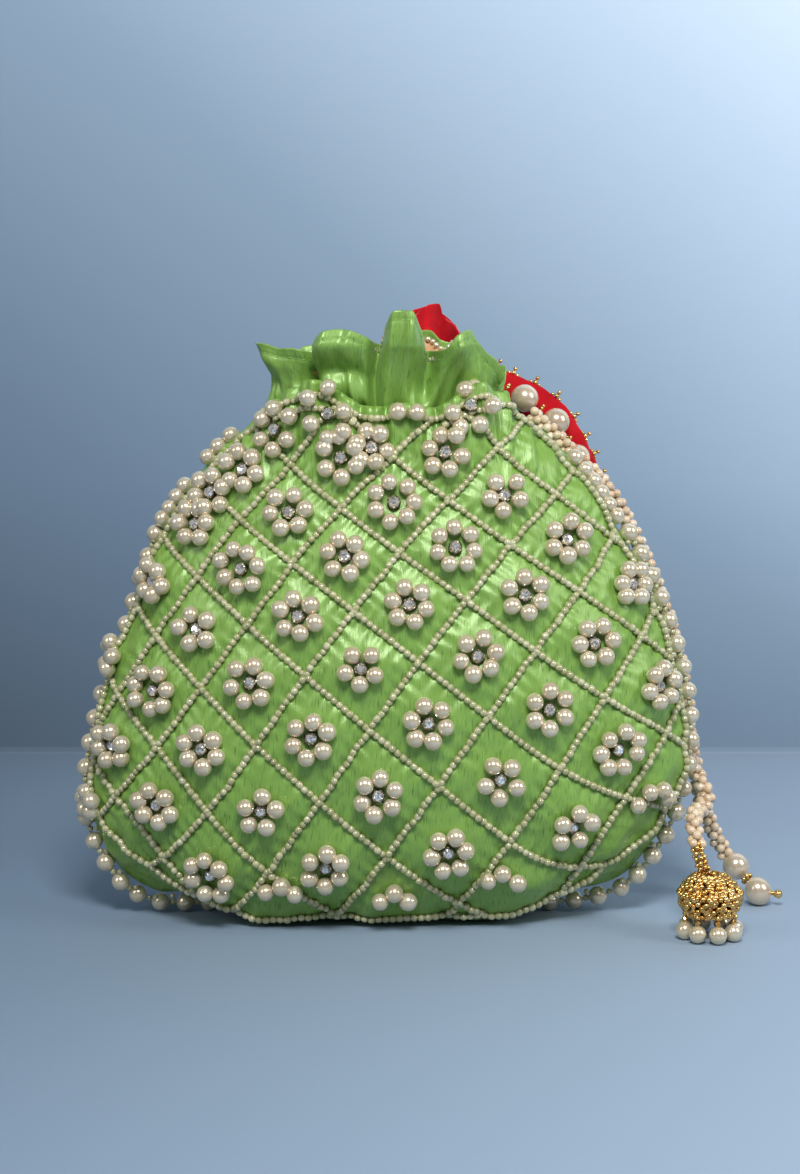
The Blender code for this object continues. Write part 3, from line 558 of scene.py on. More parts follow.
def clothRelief(s, t, back=False):
    i, j = cellOf(s, t)
    fi, fj = i - np.round(i), j - np.round(j)
    toLine = np.minimum(0.5 - np.abs(fi), 0.5 - np.abs(fj)) * lattice["pitch"] * 0.86
    pillow = (np.cos(math.pi * fi) * np.cos(math.pi * fj)) ** 0.75
    flower = np.exp(-((np.hypot(fi, fj) * lattice["pitch"] / 4.5) ** 2))
    alongLine = np.where(np.abs(fi) > np.abs(fj), j, i) * lattice["pitch"]
    pucker = np.exp(-toLine / 3.6) * np.sin(alongLine * 1.25 + 2.4 * np.sin(i * 2.1 + j * 1.7))
    seed = 40 if back else 4
    wrinkle = waves(s * 0.16, t * 0.10, seed) * (1 - np.exp(-toLine / 4.0))
    wrinkle += 0.5 * waves(s * 0.42, t * 0.16, seed + 1) * (1 - np.exp(-toLine / 3.0))
    crease = creases(s * 0.11, t * 0.085, seed + 2) * (1 - np.exp(-toLine / 3.5))
    edge = np.minimum(halfSpan(t, True) - s, s + halfSpan(t, False))
    fade = np.clip(edge / 8.0, 0, 1) * np.clip(t / 12.0, 0, 1)
    top = np.clip((t - tTop + 34) / 34, 0, 1) ** 1.7
    gather = top * (np.sin(s * 0.62 + 1.4 * np.sin(s * 0.13)) + 0.5 * np.sin(s * 1.31 + 0.7))
    relief = cloth["puff"] * (pillow - 0.55 * flower) + cloth["pucker"] * pucker + cloth["wrinkle"] * wrinkle
    fine = creases(s * 0.26, t * 0.19, seed + 3, 4) * (1 - np.exp(-toLine / 2.5))
    relief += cloth["crease"] * crease + cloth["fine"] * fine
    floorPart = np.clip((t - tFoot) / 14.0, 0, 1)
    return (relief * (1 - 0.5 * top) * floorPart + cloth["gather"] * gather) * fade


def clothPoint(s, t, lift, back=False):
    e = 0.6
    q = puffed(bareSurface(s, t), back)
    ds = puffed(bareSurface(s + e, t), back) - puffed(bareSurface(s - e, t), back)
    dt = puffed(bareSurface(s, min(t + e, tTop)), back) - puffed(bareSurface(s, max(t - e, 0)), back)
    n = np.cross(ds, dt)
    n /= max(np.linalg.norm(n), 1e-9)
    relief = float(clothRelief(np.array([s]), np.array([t]), back)[0])
    return placed(q + n * (lift + relief), back)


mouthHalf, mouthFlare, frillFoot = (37.5, 9.0), (47.0, 19.0), 180.0


def clothPanel(name, back):
    columns = cloth["columns"]
    part = np.linspace(0, 1, columns)
    upTo = np.concatenate([np.linspace(0, tFoot, cloth["footRows"])[:-1],
                           np.linspace(tFoot, tTop, cloth["rows"])])
    grid = np.zeros((len(upTo), columns, 3))
    gridS = np.zeros((len(upTo), columns))
    for r, t in enumerate(upTo):
        run, row = bodyAt(t)
        gridS[r] = run[0] + (run[-1] - run[0]) * part
        grid[r] = pointsAt(gridS[r], run, row)
    gridT = np.repeat(upTo[:, None], columns, 1)
    grid = puffed(grid, back)
    normal = np.cross(np.gradient(grid, axis=1), np.gradient(grid, axis=0))
    normal /= np.maximum(np.linalg.norm(normal, axis=2, keepdims=True), 1e-9)
    grid = placed(grid + normal * clothRelief(gridS, gridT, back)[..., None], back)
    # The top rolls in and down to the drawn neck
    top = grid[-1]
    side = 1 if back else -1
    angle = np.arccos(np.clip(-top[:, 0] / 45.0, -1, 1))
    foot = np.stack([-(mouthHalf[0] + 1.0) * np.cos(angle), side * (mouthHalf[1] + 1.2) * np.sin(angle),
                     np.full(columns, frillFoot + 3.0)], 1)
    pleat = np.sin(angle * cloth["pleats"])
    rolls = cloth["rollRows"]
    rolled = []
    for w in np.linspace(0, 1, rolls + 1)[1:]:
        row = top * (1 - w) + foot * w
        row[:, 2] += 2.6 * math.sin(math.pi * w ** 0.6) - 3.0 * w * w
        row[:, 1] += side * (1.2 * math.sin(math.pi * w) + 0.6 * w * pleat)
        rolled.append(row)
    grid = np.concatenate([grid, np.array(rolled)])
    extra = tTop + np.arange(1, rolls + 1) * 1.6
    gridS = np.concatenate([gridS, np.repeat(gridS[-1:], rolls, 0)])
    gridT = np.concatenate([gridT, np.repeat(extra[:, None], columns, 1)])
    uv = np.stack([gridS.ravel(), gridT.ravel()], 1) * 0.01
    faces = gridFaces(len(grid), columns)
    if back:
        faces = [f[::-1] for f in faces]
    obj = toMesh(name, grid.reshape(-1, 3), faces, silkGreen, uv=uv)
    thicken(obj, cloth["thick"])
    return obj


frontCloth = clothPanel("frontCloth", False)
backCloth = clothPanel("backCloth", True)
for piece, node in ((frontCloth, "front_panel"), (backCloth, "back_panel")):
    attach(piece, "green_silk", node)
print("silk panels made")

# Outline bead line and the lattice inside it
outline = {"margin": 9.0, "bottom": tFoot + 13.0, "top": tTop - 3.0, "corner": 26.0, "round": 1.3}


def lineHalfSpan(t, right):
    u = min(max((t - outline["bottom"]) / outline["corner"], 0), 1)
    inset = outline["corner"] * outline["round"] * (1 - math.sqrt(max(0.0, 1 - (1 - u) ** 2)))
    return halfSpan(t, right) - outline["margin"] - inset


def outlineLine():
    ts = outline["bottom"] + (outline["top"] - outline["bottom"]) * np.linspace(0, 1, 60) ** 1.25
    right = [(lineHalfSpan(t, True), t) for t in ts]
    left = [(-lineHalfSpan(t, False), t) for t in ts[::-1]]
    top = [(s, outline["top"]) for s in np.linspace(right[-1][0], left[0][0], 50)[1:-1]]
    low = [(s, outline["bottom"]) for s in np.linspace(left[-1][0], right[0][0], 50)[1:-1]]
    return np.array(right + top + left + low)


def inside(loop, p):
    a, b = loop, np.roll(loop, -1, axis=0)
    cross = (a[:, 1] > p[1]) != (b[:, 1] > p[1])
    with np.errstate(divide="ignore", invalid="ignore"):
        x = a[:, 0] + (p[1] - a[:, 1]) / (b[:, 1] - a[:, 1]) * (b[:, 0] - a[:, 0])
    return bool(np.count_nonzero(cross & (p[0] < x)) % 2)


def latticeLines(loop):
    found = []
    for direction in (0, 1):
        for fixed in np.arange(-9.5, 10.0, 1.0):
            run = []
            for q in np.arange(-9.5, 9.51, 0.06):
                p = latticePoint(fixed, q) if direction == 0 else latticePoint(q, fixed)
                if inside(loop, p):
                    run.append(p)
                elif run:
                    found.append(np.array(run))
                    run = []
    return [line for line in found if len(line) > 4]


def segmentDistance(segments, p):
    a, b = segments[:, 0], segments[:, 1]
    d = b - a
    u = np.clip(((p - a) * d).sum(1) / np.maximum((d * d).sum(1), 1e-12), 0, 1)
    return float(np.linalg.norm(a + d * u[:, None] - p, axis=1).min())


flower = {"pearl": 6.6, "ring": 6.3, "stone": 4.5, "sink": 0.3}
extraFlowers = {"places": [(-41.9, 212.3), (-7.2, 208.4), (1.3, 189.0), (-67.3, 190.2), (-23.4, 215.0),
                           (29.7, 217.5), (27.0, 211.0), (5.7, 215.0), (-56.0, 206.5), (-35.5, 43.6),
                           (5.3, 40.8), (43.2, 48.7), (102.9, 63.4), (-118.6, 55.2), (-113.8, 123.9)],
                "pearls": [6, 6, 4, 6, 6, 6, 5, 2, 4, 3, 3, 3, 4, 5, 5]}
loop = outlineLine()
lines = latticeLines(loop)
ridges = np.concatenate([np.stack([loop, np.roll(loop, -1, axis=0)], 1)]
                        + [np.stack([line[:-1], line[1:]], 1) for line in lines])


def wobble(line, seed, size=0.35):
    off = waves(line[:, 0] * 0.5, line[:, 1] * 0.5, seed) * size
    return line + np.stack([off, -off], 1)


def beadLattice(name, back):
    bead, vary = lattice["bead"], lattice["vary"]
    lift = bead[1] * lattice["lift"]
    flat = [wobble(line, 7 + k) for k, line in enumerate(lines)]
    inner = [[clothPoint(s, t, lift, back) for s, t in line] for line in flat]
    made = beadsOnLines(name, inner, bead, vary, (8, 5), 3, cutGlass, cutRow)
    rings = [[clothPoint(s, t, lift, back) for s, t in np.concatenate([loop, loop[:1]])]]
    if not back:
        for low, high in ((-47.0, -12.0), (20.0, 38.0)):
            second = [q for q in loop if low < q[0] < high and q[1] > tTop - 20]
            rings.append([clothPoint(s, t - lattice["secondRow"], lift, back) for s, t in second])
    edge = beadsOnLines(name + "Edge", rings, bead, vary, (8, 5), 5, cutGlass, cutRow)
    return [made, edge]


def sidesOf(n, up):
    x = unit(np.cross(up, n))
    return x, np.cross(n, x)


def stoneShape(c, n, up, r):
    # A cut stone with a flat top, in a cup with four prongs
    x, y = sidesOf(n, up)
    verts, faces = [], []
    for k, (radius, height) in enumerate(((0.0, -0.5), (1.0, 0.1), (0.98, 0.25), (0.52, 0.72), (0.0, 0.74))):
        if radius == 0.0:
            verts.append(c + n * height * r)
            continue
        for q in range(8):
            a = math.pi / 4 * (q + 0.5 * (k == 3))
            verts.append(c + (x * math.cos(a) + y * math.sin(a)) * radius * r + n * height * r)
    for q in range(8):
        w = (q + 1) % 8
        faces += [(0, 1 + w, 1 + q), (1 + q, 1 + w, 9 + w, 9 + q), (9 + q, 9 + w, 17 + q),
                  (17 + q, 9 + w, 17 + w), (17 + q, 17 + w, 25)]
    return verts, faces


def cupShape(c, n, up, r):
    x, y = sidesOf(n, up)
    verts, faces = [], []
    rings = ((0.55, -1.0), (1.05, -0.55), (1.16, 0.12), (1.05, 0.24), (0.98, 0.02), (0.5, -0.6))
    for radius, height in rings:
        for q in range(12):
            a = math.pi / 6 * q
            prong = 0.32 if q % 3 == 0 and 0.1 < height else 0.0
            pull = 0.86 if prong and radius < 1.1 else 1.0
            verts.append(c + (x * math.cos(a) + y * math.sin(a)) * radius * pull * r + n * (height + prong) * r)
    for k in range(len(rings) - 1):
        for q in range(12):
            w = (q + 1) % 12
            faces.append((k * 12 + q, k * 12 + w, k * 12 + 12 + w, k * 12 + 12 + q))
    faces.append(tuple(reversed(range(12))))
    faces.append(tuple(range(60, 72)))
    return verts, faces


def flowersOf(name, back):
    pick = random.Random(21 if back else 12)
    pearls, sizes, stones, cups = [], [], ([], []), ([], [])
    places = []
    for i in range(-8, 9):
        for j in range(-8, 9):
            c = latticePoint(i, j)
            fullEdge = flower["ring"] + flower["pearl"] * 0.52
            size = min(1.0, (segmentDistance(ridges, c) - 1.4) / fullEdge)
            if inside(loop, c) and size >= 0.5 and c[1] > 48:
                places.append((c, max(size, 0.88), pick.choice((6, 6, 6, 6, 5, 7)) if size > 0.95 else 6))
    for c, count in zip(extraFlowers["places"], extraFlowers["pearls"]):
        c = np.array(c)
        if not back and min([9.0] + [np.linalg.norm(c - q[0]) for q in places]) > 7.5:
            places.append((c, 0.94, -count if count < 5 else count))
    for c, size, count in places:
        turn = pick.uniform(0, 1.05)
        partial = count < 0
        count = abs(count)
        if partial:  # a few pearls in an arc or a pair, with no stone
            turn = math.pi * (0.5 - 0.17 * (count - 1))
        for k in range(count):
            a = turn + (1.05 if partial else 2 * math.pi / count) * k + pick.uniform(-0.06, 0.06)
            away = flower["ring"] * size * (1.0 if count < 7 else 1.13) * pick.uniform(0.95, 1.05)
            away *= 0.92 if count == 5 else 1.0
            q = c + away * np.array([math.cos(a), math.sin(a)])
            up = flower["pearl"] / 2 - flower["sink"] + 0.3 * (-1) ** k
            pearls.append(clothPoint(q[0], q[1], up, back))
            sizes.append(pick.uniform(0.95, 1.03) * (0.96 if count == 7 else 1.0))
        if partial:
            continue
        base = clothPoint(c[0], c[1], 1.8, back)
        tip = clothPoint(c[0], c[1], 2.8, back)
        n = unit(tip - base)
        up = np.array([math.sin(turn), 0.2, math.cos(turn)])
        for store, (verts, faces) in ((stones, stoneShape(base + n * 0.5, n, up, flower["stone"] / 2)),
                                      (cups, cupShape(base + n * 0.2, n, up, flower["stone"] / 2))):
            first = len(store[0])
            store[0].extend(verts)
            store[1].extend(tuple(first + v for v in f) for f in faces)
    return [beadsOnPoints(name + "Pearls", pearls, sizes, flower["pearl"], (18, 11), 9, pearlIvory),
            toMesh(name + "Stones", stones[0], stones[1], clearStone, smooth=False),
            toMesh(name + "Cups", cups[0], cups[1], cupMetal)]


for sideName, back in (("front", False), ("back", True)):
    for piece in beadLattice(sideName + "Lattice", back):
        attach(piece, "cream_pearl")
    pearls, stones, cups = flowersOf(sideName + "Flower", back)
    attach(pearls, "cream_pearl")
    attach(stones, "cream_pearl")
    attach(cups, "gold_bead")
print("lattice beads and flowers made")

# Pearls along the seam with small glass beads between
edgeString = {"pearl": 7.0, "pitch": 9.0, "top": 143.0, "off": 3.95, "glass": 2.3}


def seamCurve(right):
    sign = 1 if right else -1
    start = float(np.interp(edgeString["top"], bodyRows[:, 0], rowAt))
    level = np.linspace(start, 0, 100)
    reach = smoothRows(rowAt, bodyRows[:, 3 if right else 2], level)
    heights = smoothRows(rowAt, bodyRows[:, 0], level)
    return [np.array([sign * x, 0.0, z]) for x, z in zip(reach, heights)]


def settled(p):
    return np.array([p[0], p[1] - cornerShift(p[0], p[2]), p[2]])


seam = seamCurve(False)
seam += [np.array([x, 0.0, 7.5]) for x in np.linspace(-84, 66, 60)[1:-1]]
seam += seamCurve(True)[::-1]
seam = spline(seam[::3] + seam[-1:], 5.0)
along = np.gradient(seam, axis=0)
outward = unit(np.stack([along[:, 2], np.zeros(len(along)), -along[:, 0]], 1))
stringLine = seam + outward * edgeString["off"]
stringLine[:, 2] = np.maximum(stringLine[:, 2], edgeString["pearl"] / 2 + 0.05)
run = runningLength(stringLine)
count = int(run[-1] // edgeString["pitch"])
pick = random.Random(5)
at = (np.arange(count) + 0.5) * run[-1] / count
pearlAt = [settled(p) for p in pointsAt(at, run, stringLine)]
for p in pearlAt:
    if p[2] > 12:
        closer = 3.2 * math.exp(-((p[2] - 105) / 40) ** 2) if p[0] < 0 else 0.0
        p += np.array([(-1.3 - closer) * np.sign(p[0]), -1.8, 0.0])
shoulder = {"left": (145.5, 149.5, 153.8, 158.0, 168.5, 172.6, 176.8),
            "right": (146.5, 150.8, 155.2, 159.6, 163.8, 168.4), "pearl": 6.3}
shoulderAt = []
for right in (False, True):
    for z in shoulder["right" if right else "left"]:
        level = float(np.interp(z, bodyRows[:, 0], rowAt))
        reach = float(smoothRows(rowAt, bodyRows[:, 3 if right else 2], level))
        shoulderAt.append(np.array([(reach + 1.6) * (1 if right else -1), -3.6, z + 1.0]))
shoulderPearls = beadsOnPoints("shoulderPearls", shoulderAt, np.ones(len(shoulderAt)), shoulder["pearl"],
                               (20, 12), 4, pearlIvory)
edgePearls = beadsOnPoints("edgePearls", pearlAt, [pick.uniform(0.94, 1.02) for _ in pearlAt],
                           edgeString["pearl"], (20, 12), 4, pearlIvory)
glassAt = []
for a, b in zip(pearlAt[:-1], pearlAt[1:]):
    inward = np.array([0.0, 0.0, 1.0]) if abs(a[2] - 3.55) < 1.5 else np.array([-np.sign(a[0]), 0.0, 0.15])
    glassAt += [(a + b) / 2, (a + b) / 2 + inward * 2.6 + np.array([0, -1.5, 0])]
edgeGlass = beadsOnPoints("edgeGlass", glassAt, [pick.uniform(0.85, 1.1) for _ in glassAt],
                          edgeString["glass"], (10, 6), 6, cutGlass)
attach(edgePearls, "cream_pearl", "edge_pearl_string")
attach(edgeGlass, "cream_pearl")
attach(shoulderPearls, "cream_pearl")
print("edge pearls made")

# Frill and lining: place round the mouth, push outwards, top height
folds = np.array([
    (0.000, 0.5, 210.0), (0.030, 3.0, 212.5), (0.070, 4.0, 211.5), (0.110, 4.0, 210.5),
    (0.135, 1.5, 210.0), (0.147, -3.5, 209.5), (0.158, 2.5, 214.5), (0.175, 5.0, 217.5),
    (0.200, 5.0, 218.0), (0.218, 3.0, 215.5), (0.232, -4.5, 212.0), (0.241, 2.0, 220.0),
    (0.251, 7.0, 225.0), (0.271, 7.5, 225.6), (0.284, 1.5, 218.5), (0.300, -6.0, 209.0),
    (0.318, 1.0, 210.5), (0.336, 5.0, 216.5), (0.358, 5.5, 217.5), (0.378, 4.5, 213.0),
    (0.398, 2.5, 209.0), (0.420, 3.0, 205.5), (0.445, 3.0, 200.5), (0.475, 0.5, 197.0),
    (0.510, 2.5, 199.0), (0.545, 2.5, 203.0), (0.575, -2.5, 203.0), (0.610, 3.5, 208.0),
    (0.650, 3.5, 210.0), (0.680, 1.5, 212.5), (0.700, 3.5, 215.5), (0.725, 3.5, 214.5), (0.755, 3.5, 212.0),
    (0.785, -3.0, 208.0), (0.820, 3.5, 211.0), (0.860, 3.5, 210.0), (0.890, -3.0, 207.0),
    (0.930, 2.5, 208.0), (0.965, -1.0, 208.5)])
# Bulges and hollows of the frill: place, part of the height, their spreads, push outwards
dents = np.array([
    (0.000, 0.12, 0.050, 0.30, 7.5), (0.045, 0.55, 0.022, 0.12, -2.2), (0.065, 0.80, 0.030, 0.13, 2.2),
    (0.115, 0.42, 0.022, 0.14, 3.2), (0.150, 0.85, 0.015, 0.12, 1.6), (0.178, 0.86, 0.030, 0.12, 2.8),
    (0.190, 0.60, 0.028, 0.09, -4.0), (0.165, 0.40, 0.020, 0.12, 2.5), (0.215, 0.34, 0.016, 0.14, 3.6),
    (0.253, 0.62, 0.010, 0.16, -1.6), (0.267, 0.80, 0.008, 0.16, 1.6), (0.292, 0.22, 0.016, 0.17, 6.5),
    (0.246, 0.18, 0.014, 0.12, 2.6), (0.335, 0.85, 0.014, 0.14, 1.8), (0.352, 0.50, 0.012, 0.22, -3.2),
    (0.376, 0.62, 0.020, 0.20, 2.4), (0.405, 0.35, 0.020, 0.18, 3.0), (0.440, 0.70, 0.020, 0.16, -1.8),
    (0.560, 0.50, 0.030, 0.20, 2.6), (0.630, 0.35, 0.022, 0.14, -2.8), (0.700, 0.75, 0.030, 0.15, 2.4),
    (0.770, 0.40, 0.022, 0.16, -2.8), (0.840, 0.70, 0.030, 0.16, 2.6), (0.910, 0.35, 0.022, 0.14, -2.4)])
frill = {"columns": 520, "rows": 54, "thick": 0.55, "hem": 3.4, "stitch": 2.7, "deeper": 1.3, "crease": 2.1,
         "fine": 0.8, "soft": 1.4}
liningCloth = {"columns": 300, "rows": 16, "in": 1.9, "drop": 3.5, "thick": 0.45}


def mouthRing(places, level, foot, drop, off, ridge, deeper=1.0):
    x = np.concatenate([folds[:, 0] - 1, folds[:, 0], folds[:, 0] + 1])
    push = smoothRows(x, np.tile(folds[:, 1], 3), places)
    top = smoothRows(x, np.tile(folds[:, 2], 3), places)
    push = np.where(push > 0, push * ridge, push * deeper)
    z = foot + (top - drop - foot) * level
    g = np.clip((z - foot) / 32, 0, 1)
    angle = 2 * math.pi * places
    for at, up, wide, tall, out in dents:
        away = (places - at + 0.5) % 1.0 - 0.5
        push = push + out * np.exp(-(away / wide) ** 2 - ((level - up) / tall) ** 2) / np.maximum(g, 0.25)
    half = [mouthHalf[c] + (mouthFlare[c] - mouthHalf[c]) * g for c in (0, 1)]
    n = unit(np.stack([-np.cos(angle) / half[0], -np.sin(angle) / half[1], np.zeros_like(angle)], 1))
    p = np.stack([-half[0] * np.cos(angle), -half[1] * np.sin(angle), z], 1)
    p = p + n * (push * g - off)[:, None]
    p[:, 0] += 2.2 * np.sin(angle) * np.sin(level * 3.0 + angle * 3) * g
    return p, n, top


def frillRow(places, level):
    p, n, top = mouthRing(places, level, frillFoot, 0.0, 0.0, 1.0, frill["deeper"])
    turn = 2 * math.pi * places
    pleat = np.sin(turn * 40 + 2.0 * np.sin(turn * 5)) * 0.8 * (1 - level) ** 1.2
    a, b = np.cos(turn) * 24 + np.sin(turn * 2) * 9, level * 7.5 + np.sin(turn * 3) * 2
    swell = level ** 0.7 * (1.15 - level * 0.6)
    soft = frill["soft"] * waves(a * 1.1, b * 0.9, 31) * swell * 1.6
    fold = frill["crease"] * creases(a * 0.42, b * 0.42, 33) * swell
    fold = fold + frill["fine"] * creases(a * 1.1, b * 1.2, 37, 4) * swell
    edge = max(0.0, level - 0.75) / 0.25
    lean = 1.1 * edge * np.sin(turn * 7 + 0.6)
    hemDown = (1 - level) * (top - frillFoot)
    hem = -0.35 * np.exp(-((hemDown - frill["hem"]) / 0.6) ** 2)
    p = p + n * (pleat + soft + fold + lean + hem - 0.2)[:, None]
    p[:, 2] += edge * 0.35 * np.sin(turn * 17 + 1.0)
    return p, n, top


places = np.arange(frill["columns"]) / frill["columns"]
verts, uv = [], []
for level in np.linspace(0, 1, frill["rows"]) ** 0.9:
    verts += list(frillRow(places, float(level))[0])
    uv += [(place * 3.3, level * 0.42) for place in places]
mouthFrill = toMesh("mouthFrill", verts, gridFaces(frill["rows"], frill["columns"], True), silkGreen, uv=uv)
thicken(mouthFrill, frill["thick"])
stitchLine = []
for k in list(range(0, frill["columns"], 2)) + [0]:
    one = places[k:k + 1]
    top = frillRow(one, 1.0)[2][0]
    low, n, _ = frillRow(one, 1 - frill["hem"] / (top - frillFoot))
    stitchLine.append(low[0] + n[0] * 0.16)
hemStitches = beadsOnLines("hemStitches", [stitchLine], (frill["stitch"], 0.34, 1.8), 0.1, (6, 4), 8,
                           greenThread)


def liningRow(places, level):
    return mouthRing(places, level, frillFoot + 1.0, liningCloth["drop"], liningCloth["in"], 0.7,
                     frill["deeper"])[:2]


verts, uv = [], []
places = np.arange(liningCloth["columns"]) / liningCloth["columns"]
for level in np.linspace(0, 1, liningCloth["rows"]):
    p, n = liningRow(places, level)
    soft = 0.35 * np.sin(places * 150 + level * 4) * level - 0.2
    verts += list(p + n * soft[:, None])
    uv += [(place * 3.0, level * 0.4) for place in places]
mouthLining = toMesh("mouthLining", verts, gridFaces(liningCloth["rows"], liningCloth["columns"], True),
                     tanSatin, uv=uv)
thicken(mouthLining, liningCloth["thick"])
p, n = liningRow(places, 1.0)
liningEdge = list(p - n * 1.2 + np.array([0, 0, 0.4]))
liningBeads = beadsOnLines("liningBeads", [liningEdge + liningEdge[:1]], (2.3, 2.2, 2.1), 0.08, (8, 5), 2,
                           pearlIvory)
attach(mouthFrill, "green_silk", "mouth_frill")
attach(mouthLining, "tan_satin", "mouth_lining")
attach(hemStitches, "green_silk")
attach(liningBeads, "cream_pearl")
print("frill and lining made")

# Velvet handle with big pearls, gold caps and gold beads at the edges
handle = {"width": 13.0, "thick": 2.9, "pearl": 10.5, "edgeBead": 1.9, "step": 4.15, "crease": 0.5,
          "rows": 330, "around": 20, "pearlGap": 2.6, "pearlsFrom": 50, "pearlsTo": 22, "cap": 1.9,
          "goldFrom": 60, "goldTo": 45}
handleRoute = np.array([
    (2, 17.9, 196), (6, 24.5, 207), (14, 32, 217.5), (24, 33.5, 208.5), (33, 32, 200), (42.7, 29, 193.6),
    (52, 27, 189.8), (62.3, 26.5, 182.8), (69.5, 28, 171.7), (75.5, 36, 158), (77.5, 46, 142),
    (73, 54, 123), (62, 60, 105), (42, 64, 91), (15, 66, 85), (-15, 65, 90), (-38, 61, 105),
    (-50, 53, 127), (-52, 44, 152), (-46, 36, 174), (-37, 29, 191), (-28, 18.4, 205)], float)
handleLine = spline(handleRoute, handle["step"])


def sideFrames(path):
    tangent = unit(np.gradient(path, axis=0))
    x = unit(np.cross(tangent, np.array([0.0, -1.0, 0.0])))
    return tangent, x, np.cross(x, tangent)


def ringRound(centre, way, x, radius, count=6):
    y = np.cross(way, x)
    turns = [2 * math.pi / count * q for q in range(count)]
    return [centre + (x * math.cos(a) + y * math.sin(a)) * radius for a in turns]


finePath = resampled(handleLine, handle["rows"])
tangent, sideWay, faceWay = sideFrames(finePath)
around = handle["around"]
verts = []
for k, p in enumerate(finePath):
    f = k / (len(finePath) - 1)
    gathered = math.exp(-((f * runningLength(handleLine)[-1] - 30) / 16) ** 2)
    half = handle["width"] / 2 * (1 + 0.03 * math.sin(k * 0.7)) + 0.4 * gathered
    for q in range(around):
        a = 2 * math.pi * q / around
        x = half * np.sign(math.cos(a)) * abs(math.cos(a)) ** 0.6
        y = handle["thick"] / 2 * np.sign(math.sin(a)) * abs(math.sin(a)) ** 0.8
        quilt = handle["crease"] * math.sin(k * 0.55 + 1.6 * math.cos(a)) * abs(math.sin(a)) * 0.5
        fold = 1.8 * gathered * math.sin(x * 0.75 + 0.6)
        verts.append(p + sideWay[k] * x + faceWay[k] * (y + quilt * np.sign(y) + fold))
faces = gridFaces(len(finePath), around, True)
faces += [tuple(reversed(range(around))), tuple(range(len(verts) - around, len(verts)))]
velvetHandle = toMesh("velvetHandle", verts, faces, redVelvet)
work = bmesh.new()
work.from_mesh(velvetHandle.data)
bmesh.ops.recalc_face_normals(work, faces=work.faces[:])
work.to_mesh(velvetHandle.data)
work.free()

run = runningLength(handleLine)
ends = handle["pearlsFrom"] + handle["pearlsTo"]
bigCount = int((run[-1] - ends) // (handle["pearl"] + handle["pearlGap"]))
at = np.linspace(handle["pearlsFrom"], run[-1] - handle["pearlsTo"], bigCount)
slope = unit(pointsAt(at, run, np.stack([np.gradient(handleLine[:, c]) for c in range(3)], 1)))
offFace = unit(np.array([0.0, -1.0, 0.0]) - slope * -slope[:, 1:2])
bigAt = pointsAt(at, run, handleLine) + offFace * (1.3 + 0.1 + handle["pearl"] / 2)
bigPearls = beadsOnPoints("bigPearls", bigAt, np.ones(len(bigAt)), handle["pearl"], (32, 20), 3, pearlBig)
goldAt, goldSize = [], []
for a, b in zip(bigAt[:-1], bigAt[1:]):
    way = unit(b - a)
    goldAt += ringRound((a + b) / 2, way, unit(np.cross(way, np.array([0.0, -1.0, 0.0]))), handle["cap"])
    goldSize += [0.8] * 6
tangent, sideWay, faceWay = sideFrames(handleLine)
for k in range(1, len(handleLine), 2):
    if run[k] < handle["goldFrom"] or run[-1] - run[k] < handle["goldTo"]:
        continue
    for sign in (-1, 1):
        edge = handleLine[k] + sideWay[k] * sign * (handle["width"] / 2 + 0.5)
        out = sideWay[k] * sign
        goldAt += [edge, edge + out * 1.7, edge - out * 0.4 + tangent[k] * 1.7,
                   edge - out * 0.4 - tangent[k] * 1.7]
        goldSize += [1.0, 0.85, 0.72, 0.72]
handleGold = beadsOnPoints("handleGold", goldAt, goldSize, handle["edgeBead"], (12, 8), 5, goldMetal)
tip = {"foot": 204.0, "x": (7.5, 28.5), "y": 26.5, "thick": 1.3, "rows": 22, "columns": 44}
tipTop = np.array([(0.0, 213.0), (0.1, 218.0), (0.22, 222.5), (0.42, 225.2), (0.56, 225.4), (0.64, 221.0),
                   (0.72, 219.0), (0.84, 217.5), (0.93, 214.5), (1.0, 211.0)])
verts = []
for level in np.linspace(0, 1, tip["rows"]):
    for across in np.linspace(0, 1, tip["columns"]):
        high = float(smoothRows(tipTop[:, 0], tipTop[:, 1], across))
        narrow = 0.72 + 0.28 * level ** 0.7
        x = tip["x"][0] + (tip["x"][1] - tip["x"][0]) * (0.5 + (across - 0.5) * narrow)
        fold = 2.4 * math.cos((across - 0.33) * 10.5) * (0.4 + 0.6 * level)
        fold += 1.2 * math.sin(level * 4 + across * 3)
        z = tip["foot"] + (high - tip["foot"]) * level
        verts.append(np.array([x, tip["y"] - fold + 2.0 * level * level, z]))
velvetTip = toMesh("velvetTip", verts, gridFaces(tip["rows"], tip["columns"]), redVelvet)
thicken(velvetTip, tip["thick"], 0.0)
attach(velvetTip, "red_velvet")
attach(velvetHandle, "red_velvet", "handle_band")
attach(bigPearls, "cream_pearl", "handle_pearl_string")
attach(handleGold, "gold_bead")
print("handle made")

